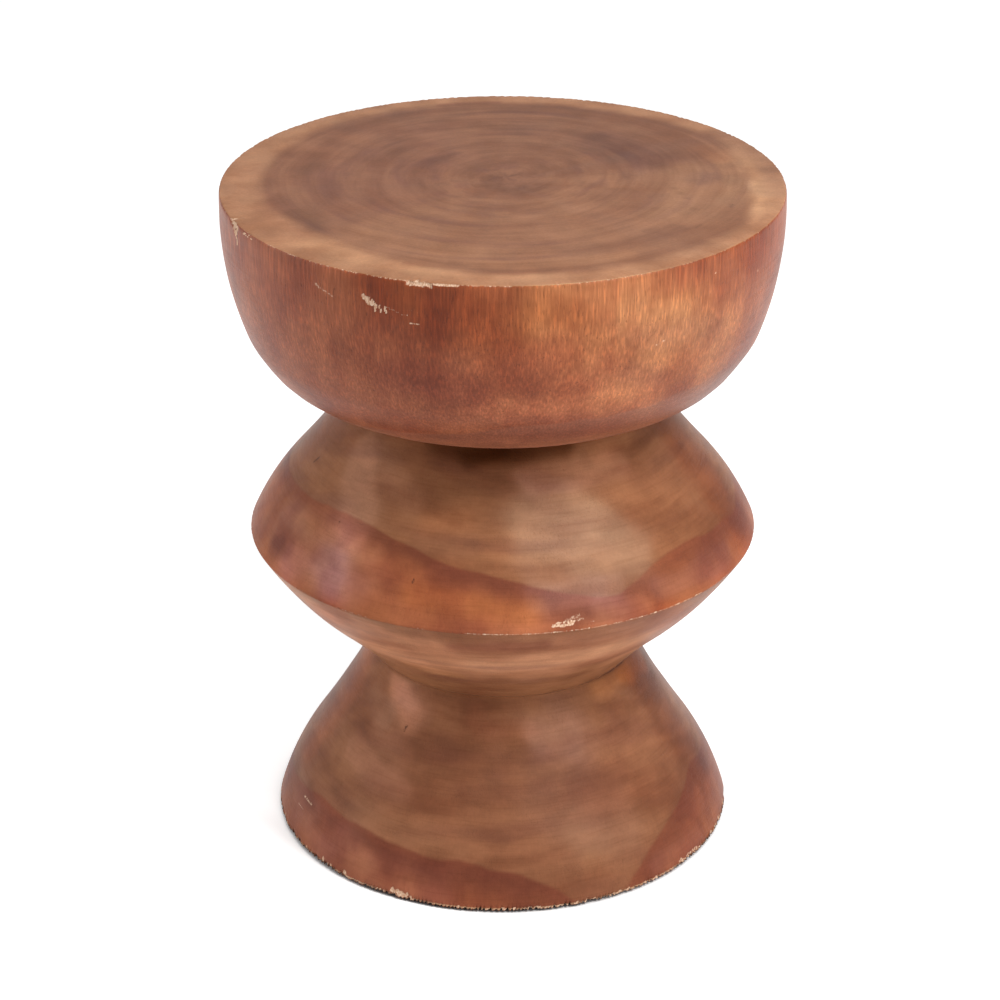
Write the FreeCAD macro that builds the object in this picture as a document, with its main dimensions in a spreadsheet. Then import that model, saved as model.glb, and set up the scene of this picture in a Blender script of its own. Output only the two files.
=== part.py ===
import FreeCAD, Part
import math
import os
import Sketcher
from enum import IntEnum
from typing import NamedTuple

# A turned wooden stool: a drum seat, a double-cone waist and a flared base, each with its end grain up.
# The blocks stand on each other at two necks, where glued dowels join them, and felt pads carry the base.
# Millimetres, +Z up, origin on the floor under the middle of the base.

# Driving sizes: alias, value, what it is.
SIZES = (
    # The stack, from the floor up
    ("pad_thickness", 3.0, "felt pad, which is the gap under the base"),
    ("base_height", 122.0, "base block, underside to lower neck"),
    ("waist_height", 192.0, "waist block, lower neck to upper neck"),
    ("seat_height", 133.0, "seat block, upper neck to top face"),
    ("upper_neck_radius", 93.5, "joint face between waist and seat"),
    ("lower_neck_radius", 89.0, "joint face between base and waist"),
    # Seat block
    ("seat_radius", 180.5, "rim of the top face"),
    ("side_arc_radius", 218.0, "bulge of the drum's side"),
    ("shoulder_inset", 14.5, "where the side turns in to the bevel, inside the rim"),
    ("shoulder_rise", 39.5, "shoulder above the upper neck"),
    ("shoulder_round", 51.0, "rounding of the shoulder"),
    ("corner_inset", 35.7, "where the bevel turns in to the underside, inside the rim"),
    ("corner_rise", 7.3, "that corner above the upper neck"),
    ("corner_round", 58.0, "rounding of that corner"),
    ("seat_rim_round", 1.6, "eased edge of the top face"),
    # Waist block
    ("waist_radius", 168.6, "rim of the double cone"),
    ("waist_rim_rise", 88.2, "rim above the lower neck"),
    ("upper_turn_drop", 63.0, "where the upper cone turns from round to hollow, below the upper neck"),
    ("upper_arc_radius", 154.5, "round stretch above the rim"),
    ("upper_hollow_radius", 645.0, "hollow stretch below the upper neck"),
    ("lower_turn_rise", 38.0, "where the lower cone turns from hollow to round, above the lower neck"),
    ("lower_arc_radius", 218.0, "round stretch below the rim"),
    ("lower_hollow_radius", 430.0, "hollow stretch above the lower neck"),
    ("waist_rim_round", 1.0, "eased edge of the rim"),
    # Base block
    ("base_radius", 156.2, "foot edge of the base"),
    ("flare_rise", 49.7, "where the flare turns from round to hollow, above the underside"),
    ("foot_arc_radius", 174.0, "round stretch above the foot edge"),
    ("flare_hollow_radius", 560.0, "hollow stretch below the lower neck"),
    ("foot_edge_round", 1.6, "eased foot edge"),
    # Dowels that join the blocks at the necks
    ("dowel_count", 4, "dowels in one neck"),
    ("dowel_cover", 24.5, "wood between a dowel and the outside of its neck"),
    ("dowel_diameter", 20.0, "dowel"),
    ("dowel_hole_depth", 50.0, "hole in each block"),
    ("dowel_end_gap", 1.0, "room for glue at each end"),
    ("dowel_clearance", 0.1, "glue film round a dowel"),
    ("dowel_chamfer", 2.0, "lead-in at both ends"),
    ("flute_count", 8, "glue flutes along a dowel"),
    ("flute_radius", 0.9, "round bottom of a flute"),
    # Felt pads and the tacks that hold them
    ("pad_count", 4, "pads under the base"),
    ("pad_inset", 16.2, "foot edge to the pad's edge"),
    ("pad_first_angle", 45.0, "first pad, round from +X"),
    ("pad_diameter", 40.0, "pad"),
    ("pad_edge_round", 0.6, "eased edge of a pad"),
    ("tack_head_diameter", 7.0, "tack head"),
    ("tack_head_thickness", 0.9, "tack head"),
    ("tack_head_gap", 0.6, "tack head above the floor"),
    ("tack_recess_clearance", 0.4, "room round the head in the felt"),
    ("tack_shank_diameter", 2.4, "shank"),
    ("tack_length", 16.0, "head's underside to point"),
    ("tack_point", 3.0, "tapered point"),
    ("tack_tip_radius", 0.2, "blunt tip of the point"),
    ("tack_clearance", 0.05, "room round the shank"),
    ("tack_end_gap", 1.0, "room beyond the point"),
)

# Heights of the joints in the stack, as expressions of the sheet.
FLOOR = "0"
UNDERSIDE = "Sizes.pad_thickness"
LOWER_NECK = UNDERSIDE + " + Sizes.base_height"
UPPER_NECK = LOWER_NECK + " + Sizes.waist_height"
TOP_FACE = UPPER_NECK + " + Sizes.seat_height"

# Fits between the pieces, from the same sizes.
UPPER_DOWEL_RING = "Sizes.upper_neck_radius - Sizes.dowel_cover - Sizes.dowel_diameter / 2"
LOWER_DOWEL_RING = "Sizes.lower_neck_radius - Sizes.dowel_cover - Sizes.dowel_diameter / 2"
DOWEL_HOLE_RADIUS = "Sizes.dowel_diameter / 2 + Sizes.dowel_clearance"
PAD_RING = "Sizes.base_radius - Sizes.pad_inset - Sizes.pad_diameter / 2"
TACK_SEAT = "Sizes.tack_head_gap + Sizes.tack_head_thickness"
TACK_TIP = TACK_SEAT + " + Sizes.tack_length"
TACK_HOLE_RADIUS = "Sizes.tack_shank_diameter / 2 + Sizes.tack_clearance"
TACK_RECESS_RADIUS = "Sizes.tack_head_diameter / 2 + Sizes.tack_recess_clearance"
TACK_HOLE_DEPTH = f"{TACK_TIP} + Sizes.tack_end_gap - Sizes.pad_thickness"

# First guesses of where the round stretches turn hollow: on the straight line between their ends.
LOWER_TURN_GUESS = ("Sizes.lower_neck_radius + (Sizes.waist_radius - Sizes.lower_neck_radius)"
                    " * Sizes.lower_turn_rise / Sizes.waist_rim_rise")
UPPER_TURN_GUESS = ("Sizes.upper_neck_radius + (Sizes.waist_radius - Sizes.upper_neck_radius)"
                    " * Sizes.upper_turn_drop / (Sizes.waist_height - Sizes.waist_rim_rise)")
FLARE_GUESS = ("Sizes.base_radius - (Sizes.base_radius - Sizes.lower_neck_radius)"
               " * Sizes.flare_rise / Sizes.base_height")

FULL_TURN = 360.0
EDGE_TOLERANCE = 1e-3
NORMAL = FreeCAD.Vector(0, 0, 1)


class Axis(IntEnum):
    """A sketch's own numbers for its axes. The level one starts at the sketch's origin."""

    LEVEL = -1
    UPRIGHT = -2


class Spot(IntEnum):
    """A sketch's own numbers for the places on a line, an arc or a circle."""

    START = 1
    END = 2
    CENTRE = 3


class Bulge(IntEnum):
    """Which way a side of an outline bulges, going round it."""

    RIGHT = -1
    STRAIGHT = 0
    LEFT = 1


ROOT = (Axis.LEVEL, Spot.START)


class Corner(NamedTuple):
    """A corner of an outline, and the side that leaves it: straight, or an arc of a radius.

    across and up are expressions of its place, and across is None on the axis. A smooth corner keeps its
    height and slides to where the arcs before and after it meet without a kink, from a first guess across.
    """

    across: str | None
    up: str
    bulge: Bulge = Bulge.STRAIGHT
    radius: str = ""
    smooth: bool = False


doc = FreeCAD.newDocument("turned_stool")


def make_sheet():
    """Writes the driving sizes to the sheet, one row each: words, then the number with its alias."""
    sheet = doc.addObject("Spreadsheet::Sheet", "Sizes")
    for row, (alias, value, words) in enumerate(SIZES, start=1):
        sheet.set(f"A{row}", f"{alias.replace('_', ' ')}: {words}")
        sheet.set(f"B{row}", str(value))
        sheet.setAlias(f"B{row}", alias)
    doc.recompute()
    return sheet


SHEET = make_sheet()


def value(expression):
    """The number that an expression of the sheet gives."""
    return float(SHEET.evalExpression(expression))


def new_body(label):
    """A body whose label names its file."""
    body = doc.addObject("PartDesign::Body", label)
    body.Label = label
    return body


def new_sketch(body, name, role, height=None):
    """A sketch on one of the body's own origin planes, lifted to a height if one is given."""
    sketch = body.newObject("Sketcher::SketchObject", f"{body.Name}_{name}")
    plane = next(f for f in body.Origin.OriginFeatures if f.Role == role)
    sketch.AttachmentSupport = (plane, [""])
    sketch.MapMode = "FlatFace"
    if height is not None:
        sketch.setExpression("AttachmentOffset.Base.z", height)
    return sketch


def bind(sketch, constraint, name, expression):
    """Adds a named dimension to a sketch and ties it to the sheet."""
    index = sketch.addConstraint(constraint)
    sketch.renameConstraint(index, name)
    sketch.setExpression(f"Constraints.{name}", expression)


def vector(corner):
    """Where a corner of an outline lies."""
    return FreeCAD.Vector(value(corner.across) if corner.across else 0.0, value(corner.up), 0)


def arc_between(first, last, radius, bulge):
    """An arc between two points that bulges to the left or right of the way from first to last."""
    chord = last - first
    left = FreeCAD.Vector(-chord.y, chord.x, 0).normalize()
    centre = (first + last) / 2 - left * int(bulge) * math.sqrt(radius**2 - (chord.Length / 2) ** 2)
    begin, finish = (last, first) if bulge == Bulge.LEFT else (first, last)
    angles = [math.atan2(p.y - centre.y, p.x - centre.x) for p in (begin, finish)]
    return Part.ArcOfCircle(Part.Circle(centre, NORMAL, radius), *angles)


def add_side(sketch, corner, following):
    """Adds the side from one corner to the next, and returns which of its ends come first and last."""
    first, last = vector(corner), vector(following)
    if corner.bulge == Bulge.STRAIGHT:
        sketch.addGeometry(Part.LineSegment(first, last))
        return Spot.START, Spot.END
    sketch.addGeometry(arc_between(first, last, value(corner.radius), corner.bulge))
    return (Spot.END, Spot.START) if corner.bulge == Bulge.LEFT else (Spot.START, Spot.END)


def draw_outline(sketch, outline):
    """Draws a closed outline, given as names and corners, and constrains it."""
    corners = list(outline.values())
    ends = [add_side(sketch, *pair) for pair in zip(corners, corners[1:] + corners[:1])]
    for index, (name, corner) in enumerate(outline.items()):
        first = ends[index][0]
        before = (index - 1) % len(corners)
        joint = "Tangent" if corner.smooth else "Coincident"
        sketch.addConstraint(Sketcher.Constraint(joint, before, ends[before][1], index, first))
        height = Sketcher.Constraint("DistanceY", *ROOT, index, first, value(corner.up))
        bind(sketch, height, f"{name}_up", corner.up)
        if corner.across is None:
            sketch.addConstraint(Sketcher.Constraint("PointOnObject", index, first, Axis.UPRIGHT))
        elif not corner.smooth:
            reach = Sketcher.Constraint("DistanceX", *ROOT, index, first, value(corner.across))
            bind(sketch, reach, f"{name}_across", corner.across)
        if corner.radius:
            radius = Sketcher.Constraint("Radius", index, value(corner.radius))
            bind(sketch, radius, f"{name}_arc", corner.radius)


def revolve(body, name, outline):
    """Turns an outline, drawn across and up, about the body's upright axis."""
    sketch = new_sketch(body, f"{name}_outline", "XZ_Plane")
    draw_outline(sketch, outline)
    turned = body.newObject("PartDesign::Revolution", f"{body.Name}_{name}")
    turned.Profile = sketch
    turned.ReferenceAxis = (sketch, ["V_Axis"])
    turned.Angle = FULL_TURN
    doc.recompute()
    return turned


def draw_circle(sketch, name, radius, across=None):
    """A circle about the sketch's origin, or at a distance along its X axis."""
    centre = FreeCAD.Vector(value(across) if across else 0.0, 0, 0)
    circle = sketch.addGeometry(Part.Circle(centre, NORMAL, value(radius)))
    bind(sketch, Sketcher.Constraint("Radius", circle, value(radius)), f"{name}_radius", radius)
    if across:
        sketch.addConstraint(Sketcher.Constraint("PointOnObject", circle, Spot.CENTRE, Axis.LEVEL))
        place = Sketcher.Constraint("DistanceX", *ROOT, circle, Spot.CENTRE, value(across))
        bind(sketch, place, f"{name}_across", across)
    else:
        sketch.addConstraint(Sketcher.Constraint("Coincident", circle, Spot.CENTRE, *ROOT))


def extrude(body, kind, name, sketch, length, upward):
    """A Pad or a Pocket of a level sketch, up or down."""
    feature = body.newObject(f"PartDesign::{kind}", f"{body.Name}_{name}")
    feature.Profile = sketch
    feature.Type = "Length"
    feature.setExpression("Length", length)
    feature.Reversed = upward == (kind == "Pocket")
    doc.recompute()
    return feature


def pattern(body, name, feature, sketch, count):
    """Repeats a feature round the sketch's normal."""
    ring = body.newObject("PartDesign::PolarPattern", f"{body.Name}_{name}")
    ring.Originals = [feature]
    ring.Axis = (sketch, ["N_Axis"])
    ring.Angle = FULL_TURN
    ring.setExpression("Occurrences", count)
    body.Tip = ring
    doc.recompute()
    return ring


def ring_edges(feature, radius, height):
    """Names of the feature's round edges about the upright axis with that radius at that height."""
    names = []
    for number, edge in enumerate(feature.Shape.Edges, start=1):
        curve = edge.Curve
        if not isinstance(curve, Part.Circle) or abs(curve.Radius - radius) > EDGE_TOLERANCE:
            continue
        if curve.Center.distanceToPoint(FreeCAD.Vector(0, 0, height)) < EDGE_TOLERANCE:
            names.append(f"Edge{number}")
    return names


def dress(body, kind, name, feature, edges, size_name, size):
    """A Fillet or Chamfer of named edges, its size tied to the sheet."""
    made = body.newObject(f"PartDesign::{kind}", f"{body.Name}_{name}")
    made.Base = (feature, edges)
    made.setExpression(size_name, size)
    doc.recompute()
    return made


def fillet_ring(body, name, feature, corner, size):
    """Eases the round edge that a corner of the outline draws."""
    edges = ring_edges(feature, value(corner.across), value(corner.up))
    return dress(body, "Fillet", name, feature, edges, "Radius", size)


def drill_ring(body, name, face, radius, depth, ring, count, upward, first_angle=None):
    """Blind holes on a ring about the upright axis, bored up or down into a level face."""
    sketch = new_sketch(body, f"{name}_place", "XY_Plane", face)
    if first_angle:
        sketch.setExpression("AttachmentOffset.Rotation.Angle", first_angle)
    draw_circle(sketch, name, radius, ring)
    before = body.Shape.Volume
    hole = extrude(body, "Pocket", name, sketch, depth, upward)
    if hole.Shape.Volume >= before:
        raise ValueError(f"{body.Label}: {name} cuts nothing")
    pattern(body, f"{name}_ring", hole, sketch, count)


def drill_dowels(body, name, face, ring, upward):
    """The holes for one neck's dowels."""
    depth = "Sizes.dowel_hole_depth"
    drill_ring(body, name, face, DOWEL_HOLE_RADIUS, depth, ring, "Sizes.dowel_count", upward)


def make_seat():
    """The drum: a bulged side, a bevel below its shoulder, and an underside in to the upper neck."""
    body = new_body("seat_block")
    outline = {
        "axis_low": Corner(None, UPPER_NECK),
        "neck": Corner("Sizes.upper_neck_radius", UPPER_NECK),
        "corner": Corner("Sizes.seat_radius - Sizes.corner_inset", f"{UPPER_NECK} + Sizes.corner_rise"),
        "shoulder": Corner("Sizes.seat_radius - Sizes.shoulder_inset", f"{UPPER_NECK} + Sizes.shoulder_rise",
                           Bulge.RIGHT, "Sizes.side_arc_radius"),
        "rim": Corner("Sizes.seat_radius", TOP_FACE),
        "axis_high": Corner(None, TOP_FACE),
    }
    turned = revolve(body, "drum", outline)
    eased = fillet_ring(body, "shoulder_round", turned, outline["shoulder"], "Sizes.shoulder_round")
    eased = fillet_ring(body, "corner_round", eased, outline["corner"], "Sizes.corner_round")
    fillet_ring(body, "rim_round", eased, outline["rim"], "Sizes.seat_rim_round")
    drill_dowels(body, "dowel_hole", UPPER_NECK, UPPER_DOWEL_RING, upward=True)
    return body


def make_waist():
    """The double cone: a little hollow at both necks, and round towards its rim."""
    body = new_body("waist_block")
    outline = {
        "axis_low": Corner(None, LOWER_NECK),
        "lower_neck": Corner("Sizes.lower_neck_radius", LOWER_NECK, Bulge.LEFT, "Sizes.lower_hollow_radius"),
        "lower_turn": Corner(LOWER_TURN_GUESS, f"{LOWER_NECK} + Sizes.lower_turn_rise",
                             Bulge.RIGHT, "Sizes.lower_arc_radius", smooth=True),
        "rim": Corner("Sizes.waist_radius", f"{LOWER_NECK} + Sizes.waist_rim_rise",
                      Bulge.RIGHT, "Sizes.upper_arc_radius"),
        "upper_turn": Corner(UPPER_TURN_GUESS, f"{UPPER_NECK} - Sizes.upper_turn_drop",
                             Bulge.LEFT, "Sizes.upper_hollow_radius", smooth=True),
        "upper_neck": Corner("Sizes.upper_neck_radius", UPPER_NECK),
        "axis_high": Corner(None, UPPER_NECK),
    }
    turned = revolve(body, "double_cone", outline)
    fillet_ring(body, "rim_round", turned, outline["rim"], "Sizes.waist_rim_round")
    drill_dowels(body, "upper_hole", UPPER_NECK, UPPER_DOWEL_RING, upward=False)
    drill_dowels(body, "lower_hole", LOWER_NECK, LOWER_DOWEL_RING, upward=True)
    return body


def make_base():
    """The flared base: hollow below the lower neck, round above its foot edge, flat underneath."""
    body = new_body("base_block")
    outline = {
        "axis_low": Corner(None, UNDERSIDE),
        "foot": Corner("Sizes.base_radius", UNDERSIDE, Bulge.RIGHT, "Sizes.foot_arc_radius"),
        "flare": Corner(FLARE_GUESS, f"{UNDERSIDE} + Sizes.flare_rise",
                        Bulge.LEFT, "Sizes.flare_hollow_radius", smooth=True),
        "neck": Corner("Sizes.lower_neck_radius", LOWER_NECK),
        "axis_high": Corner(None, LOWER_NECK),
    }
    turned = revolve(body, "flare", outline)
    fillet_ring(body, "foot_round", turned, outline["foot"], "Sizes.foot_edge_round")
    drill_dowels(body, "dowel_hole", LOWER_NECK, LOWER_DOWEL_RING, upward=False)
    drill_ring(body, "tack_hole", UNDERSIDE, TACK_HOLE_RADIUS, TACK_HOLE_DEPTH, PAD_RING,
               "Sizes.pad_count", upward=True, first_angle="Sizes.pad_first_angle")
    return body


def stand_on_ring(body, ring, angle, height):
    """Places a body on a ring about the stool's axis, at an angle and a height."""
    body.setExpression("Placement.Base.x", f"({ring}) * cos({angle})")
    body.setExpression("Placement.Base.y", f"({ring}) * sin({angle})")
    body.setExpression("Placement.Base.z", height)


def stand_under_base(body, number):
    """Places a pad or a tack at its pad's place under the base."""
    angle = f"{FULL_TURN} / Sizes.pad_count * {number} + Sizes.pad_first_angle"
    stand_on_ring(body, PAD_RING, angle, FLOOR)


def make_dowel(label, number, neck, ring):
    """A fluted dowel, half in the block below the neck and half in the one above."""
    body = new_body(label)
    length = "2 * (Sizes.dowel_hole_depth - Sizes.dowel_end_gap)"
    radius = "Sizes.dowel_diameter / 2"
    section = new_sketch(body, "section", "XY_Plane")
    draw_circle(section, "dowel", radius)
    rod = extrude(body, "Pad", "rod", section, length, upward=True)
    ends = ring_edges(rod, value(radius), value(FLOOR)) + ring_edges(rod, value(radius), value(length))
    dress(body, "Chamfer", "lead_in", rod, ends, "Size", "Sizes.dowel_chamfer")
    groove = new_sketch(body, "flute_place", "XY_Plane")
    draw_circle(groove, "flute", "Sizes.flute_radius", radius)
    flute = extrude(body, "Pocket", "flute", groove, length, upward=True)
    pattern(body, "flute_ring", flute, groove, "Sizes.flute_count")
    angle = f"{FULL_TURN} / Sizes.dowel_count * {number}"
    stand_on_ring(body, ring, angle, f"{neck} - ({length}) / 2")
    return body


def make_pad(label, number):
    """A felt pad with a recess for its tack's head and a hole for the shank."""
    body = new_body(label)
    section = new_sketch(body, "section", "XY_Plane")
    draw_circle(section, "pad", "Sizes.pad_diameter / 2")
    disc = extrude(body, "Pad", "disc", section, "Sizes.pad_thickness", upward=True)
    fillet_ring(body, "edge_round", disc, Corner("Sizes.pad_diameter / 2", FLOOR), "Sizes.pad_edge_round")
    recess = new_sketch(body, "recess_place", "XY_Plane")
    draw_circle(recess, "recess", TACK_RECESS_RADIUS)
    extrude(body, "Pocket", "recess", recess, TACK_SEAT, upward=True)
    hole = new_sketch(body, "hole_place", "XY_Plane")
    draw_circle(hole, "hole", TACK_HOLE_RADIUS)
    extrude(body, "Pocket", "hole", hole, "Sizes.pad_thickness", upward=True)
    stand_under_base(body, number)
    return body


def make_tack(name, number):
    """A flat-headed tack, its head up against the bottom of the pad's recess."""
    body = new_body(name)
    head = "Sizes.tack_head_diameter / 2"
    shank = "Sizes.tack_shank_diameter / 2"
    outline = {
        "axis_low": Corner(None, "Sizes.tack_head_gap"),
        "head_edge": Corner(head, "Sizes.tack_head_gap"),
        "head_back": Corner(head, TACK_SEAT),
        "shank_root": Corner(shank, TACK_SEAT),
        "shank_end": Corner(shank, f"{TACK_TIP} - Sizes.tack_point"),
        "tip_edge": Corner("Sizes.tack_tip_radius", TACK_TIP),
        "axis_high": Corner(None, TACK_TIP),
    }
    revolve(body, "tack", outline)
    stand_under_base(body, number)
    return body


def make_tacks(label):
    """All the tacks, one solid under each pad, as one group."""
    group = doc.addObject("Part::Compound", label)
    group.Label = label
    numbers = range(int(value("Sizes.pad_count")))
    group.Links = [make_tack(f"tack_{number + 1}", number) for number in numbers]
    return group


def make_sub_parts():
    """Every sub-part that gets a file of its own."""
    made = [make_seat(), make_waist(), make_base()]
    necks = (("upper", UPPER_NECK, UPPER_DOWEL_RING), ("lower", LOWER_NECK, LOWER_DOWEL_RING))
    for place, neck, ring in necks:
        for number in range(int(value("Sizes.dowel_count"))):
            made.append(make_dowel(f"{place}_dowel_{number + 1}", number, neck, ring))
    for number in range(int(value("Sizes.pad_count"))):
        made.append(make_pad(f"floor_pad_{number + 1}", number))
    made.append(make_tacks("pad_tacks"))
    doc.recompute()
    return made


def check(sub_parts):
    """Stops if a feature failed or a sub-part's shape is missing or not valid."""
    for thing in doc.Objects:
        if "Invalid" in thing.State or "Error" in thing.State:
            raise ValueError(f"{thing.Label} failed: {thing.State}")
    for part in sub_parts:
        if part.Shape.isNull() or not part.Shape.isValid() or not part.Shape.Solids:
            raise ValueError(f"{part.Label} has no valid solid")


def write(sub_parts):
    """Writes each sub-part to its own file, named by its label."""
    os.makedirs("parts", exist_ok=True)
    for part in sub_parts:
        part.Shape.exportStep(f"parts/{part.Label}.step")
        print(f"{part.Label}: solids {len(part.Shape.Solids)}, volume {part.Shape.Volume:.1f} mm3")


SUB_PARTS = make_sub_parts()
check(SUB_PARTS)
write(SUB_PARTS)
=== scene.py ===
"""The looks of a turned wooden stool: three stacked blocks of one log, worn by use, in a white studio.

Sizes are in millimetres unless a name says otherwise, and become metres where a mesh is made. Angles round
the stool are in degrees from its front, -Y, and grow towards its right, +X.
"""

import logging
import math
from dataclasses import dataclass, field
from enum import Enum
from typing import Sequence

import bmesh
import bpy
import numpy as np
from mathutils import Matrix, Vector

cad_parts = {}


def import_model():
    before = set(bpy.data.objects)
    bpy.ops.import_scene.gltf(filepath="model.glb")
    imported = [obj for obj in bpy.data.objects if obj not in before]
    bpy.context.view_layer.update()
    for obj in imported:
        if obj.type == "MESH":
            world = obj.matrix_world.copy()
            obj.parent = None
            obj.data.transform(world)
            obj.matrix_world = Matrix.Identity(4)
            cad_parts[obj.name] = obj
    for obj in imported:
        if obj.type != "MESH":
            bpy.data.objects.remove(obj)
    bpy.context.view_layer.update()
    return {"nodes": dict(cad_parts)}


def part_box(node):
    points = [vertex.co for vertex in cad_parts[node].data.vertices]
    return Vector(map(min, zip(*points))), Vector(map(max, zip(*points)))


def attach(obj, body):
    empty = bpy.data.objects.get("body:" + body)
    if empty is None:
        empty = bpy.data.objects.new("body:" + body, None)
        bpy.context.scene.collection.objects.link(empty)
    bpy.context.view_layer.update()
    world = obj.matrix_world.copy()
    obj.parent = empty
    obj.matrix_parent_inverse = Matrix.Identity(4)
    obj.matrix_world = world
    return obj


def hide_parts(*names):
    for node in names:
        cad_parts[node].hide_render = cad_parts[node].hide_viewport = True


LOG = logging.getLogger("stool")
MM = 0.001
BODY = "root"
PAD_COUNT = 4
SHARP_ANGLE = 50.0
TOUCHING = 0.01

Socket = bpy.types.NodeSocket
Colour = tuple[float, float, float]
Points = np.ndarray
Place = tuple[float, ...]
AngleTable = Sequence[tuple[float, float]]


def linear(red: float, green: float, blue: float) -> Colour:
    """Turns a colour as a screen shows it, 0 to 255, into the linear one that shaders take.

    Args:
        red: The red channel.
        green: The green channel.
        blue: The blue channel.

    Returns:
        The three linear channels, 0 to 1.
    """
    shown = np.array((red, green, blue)) / 255
    lit = np.where(shown < 0.04045, shown / 12.92, ((shown + 0.055) / 1.055) ** 2.4)
    return tuple(float(channel) for channel in lit)


class NodeGraph:
    """The node tree of a finish, built by short calls that return the sockets they make."""

    def __init__(self, name: str) -> None:
        """Starts a material with a Principled shader and its output.

        Args:
            name: The material's name.
        """
        self.material = bpy.data.materials.new(name)
        self.material.use_nodes = True
        self.tree = self.material.node_tree
        self.tree.nodes.clear()
        self.output = self.node("ShaderNodeOutputMaterial")
        self.shader = self.node("ShaderNodeBsdfPrincipled")
        self.feed(self.output.inputs["Surface"], self.shader.outputs["BSDF"])

    def node(self, kind: str, **settings: object) -> bpy.types.Node:
        """Adds a node.

        Args:
            kind: Its type in Blender.
            settings: Its settings by name.

        Returns:
            The node.
        """
        made = self.tree.nodes.new(kind)
        for name, setting in settings.items():
            setattr(made, name, setting)
        return made

    def feed(self, socket: Socket, value: object) -> None:
        """Links a socket to another, or sets it to a plain value.

        Args:
            socket: The socket that takes the value.
            value: Another socket, a number, or a tuple of numbers.
        """
        if isinstance(value, Socket):
            self.tree.links.new(value, socket)
        elif isinstance(value, tuple) and socket.type == "RGBA":
            socket.default_value = (*value, 1.0)
        else:
            socket.default_value = value

    def worked_out(self, kind: str, operation: str, values: Sequence[object]) -> bpy.types.Node:
        """Adds a node that does arithmetic.

        Args:
            kind: Its type in Blender.
            operation: What it does.
            values: Numbers, vectors or sockets, in the order of its inputs.

        Returns:
            The node.
        """
        made = self.node(kind, operation=operation)
        for socket, value in zip(made.inputs, values):
            self.feed(socket, value)
        return made

    def math(self, operation: str, *values: object) -> Socket:
        """The answer of a Math node of numbers or sockets."""
        return self.worked_out("ShaderNodeMath", operation, values).outputs[0]

    def vector(self, operation: str, *values: object) -> Socket:
        """The answer of a Vector Math node: a number for a length or a dot product, else a vector."""
        made = self.worked_out("ShaderNodeVectorMath", operation, values)
        return made.outputs["Value" if operation in ("LENGTH", "DOT_PRODUCT") else "Vector"]

    def place(self) -> Socket:
        """The place of a point of the object, in millimetres."""
        found = self.node("ShaderNodeTexCoord").outputs["Object"]
        return self.vector("MULTIPLY", found, (1 / MM,) * 3)

    def axes(self, place: Socket) -> bpy.types.NodeOutputs:
        """Takes a place apart.

        Args:
            place: The place.

        Returns:
            Its X, Y and Z.
        """
        made = self.node("ShaderNodeSeparateXYZ")
        self.feed(made.inputs[0], place)
        return made.outputs

    def noise(
        self, place: Socket, per_mm: Sequence[float], detail: float = 2.0, colour: bool = False
    ) -> Socket:
        """Solid noise, stretched by giving each axis its own scale.

        Args:
            place: Where the point is, in millimetres.
            per_mm: Features in a millimetre, along X, Y and Z.
            detail: Octaves of finer noise.
            colour: Whether to return three noises instead of one.

        Returns:
            The noise, from 0 to 1 around one half.
        """
        made = self.node("ShaderNodeTexNoise")
        self.feed(made.inputs["Vector"], self.vector("MULTIPLY", place, tuple(per_mm)))
        self.feed(made.inputs["Scale"], 1.0)
        self.feed(made.inputs["Detail"], detail)
        return made.outputs["Color" if colour else "Fac"]

    def drift(self, place: Socket, per_mm: Sequence[float], reach: float) -> Socket:
        """A level offset that wanders smoothly, up to about a quarter of reach each way."""
        wander = self.noise(place, per_mm, 1.0, colour=True)
        return self.vector("MULTIPLY", self.vector("SUBTRACT", wander, (0.5,) * 3), (reach, reach, 0.0))

    def span(
        self, value: object, low: object, high: object, first: object = 0.0, last: object = 1.0
    ) -> Socket:
        """Eases from one number to another as a value grows. All of them can be sockets.

        Args:
            value: The value that grows.
            low: Where the easing begins.
            high: Where it ends.
            first: The answer at low and below it.
            last: The answer at high and above it.

        Returns:
            The answer.
        """
        made = self.node("ShaderNodeMapRange", interpolation_type="SMOOTHSTEP")
        given = {"Value": value, "From Min": low, "From Max": high, "To Min": first, "To Max": last}
        for name, setting in given.items():
            self.feed(made.inputs[name], setting)
        return made.outputs["Result"]

    def blend(self, share: object, first: object, second: object, kind: str = "MIX") -> Socket:
        """Blends two colours.

        Args:
            share: The share of the second.
            first: The colour below.
            second: The colour laid on it.
            kind: How it is laid on.

        Returns:
            The blended colour.
        """
        made = self.node("ShaderNodeMix", data_type="RGBA", blend_type=kind)
        for index, value in ((0, share), (6, first), (7, second)):
            self.feed(made.inputs[index], value)
        return made.outputs[2]

    def attribute(self, name: str, kind: str = "Fac") -> Socket:
        """Reads a value kept on the mesh's points."""
        return self.node("ShaderNodeAttribute", attribute_name=name).outputs[kind]

    def bump(self, height: Socket, depth: float) -> None:
        """Gives the shader a fine relief.

        Args:
            height: The relief's height, from 0 to 1.
            depth: What 1 stands for, in millimetres.
        """
        made = self.node("ShaderNodeBump")
        self.feed(made.inputs["Distance"], depth * MM)
        self.feed(made.inputs["Height"], height)
        self.feed(self.shader.inputs["Normal"], made.outputs["Normal"])


@dataclass(frozen=True)
class Finish:
    """A finish, made into a material once and shared by the pieces that take it."""

    name: str

    def material(self) -> bpy.types.Material:
        """The finish's material, built at its first use."""
        return bpy.data.materials.get(self.name) or self.build(NodeGraph(self.name))

    def build(self, graph: NodeGraph) -> bpy.types.Material:
        """Lays the nodes of the finish."""
        raise NotImplementedError

    def shaded(self, graph: NodeGraph, colour: Socket, share: float) -> Socket:
        """A colour multiplied by a share, a little more of it in red and less in blue."""
        return graph.blend(1.0, colour, (share * 1.1, share, share * 0.9), "MULTIPLY")


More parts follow.
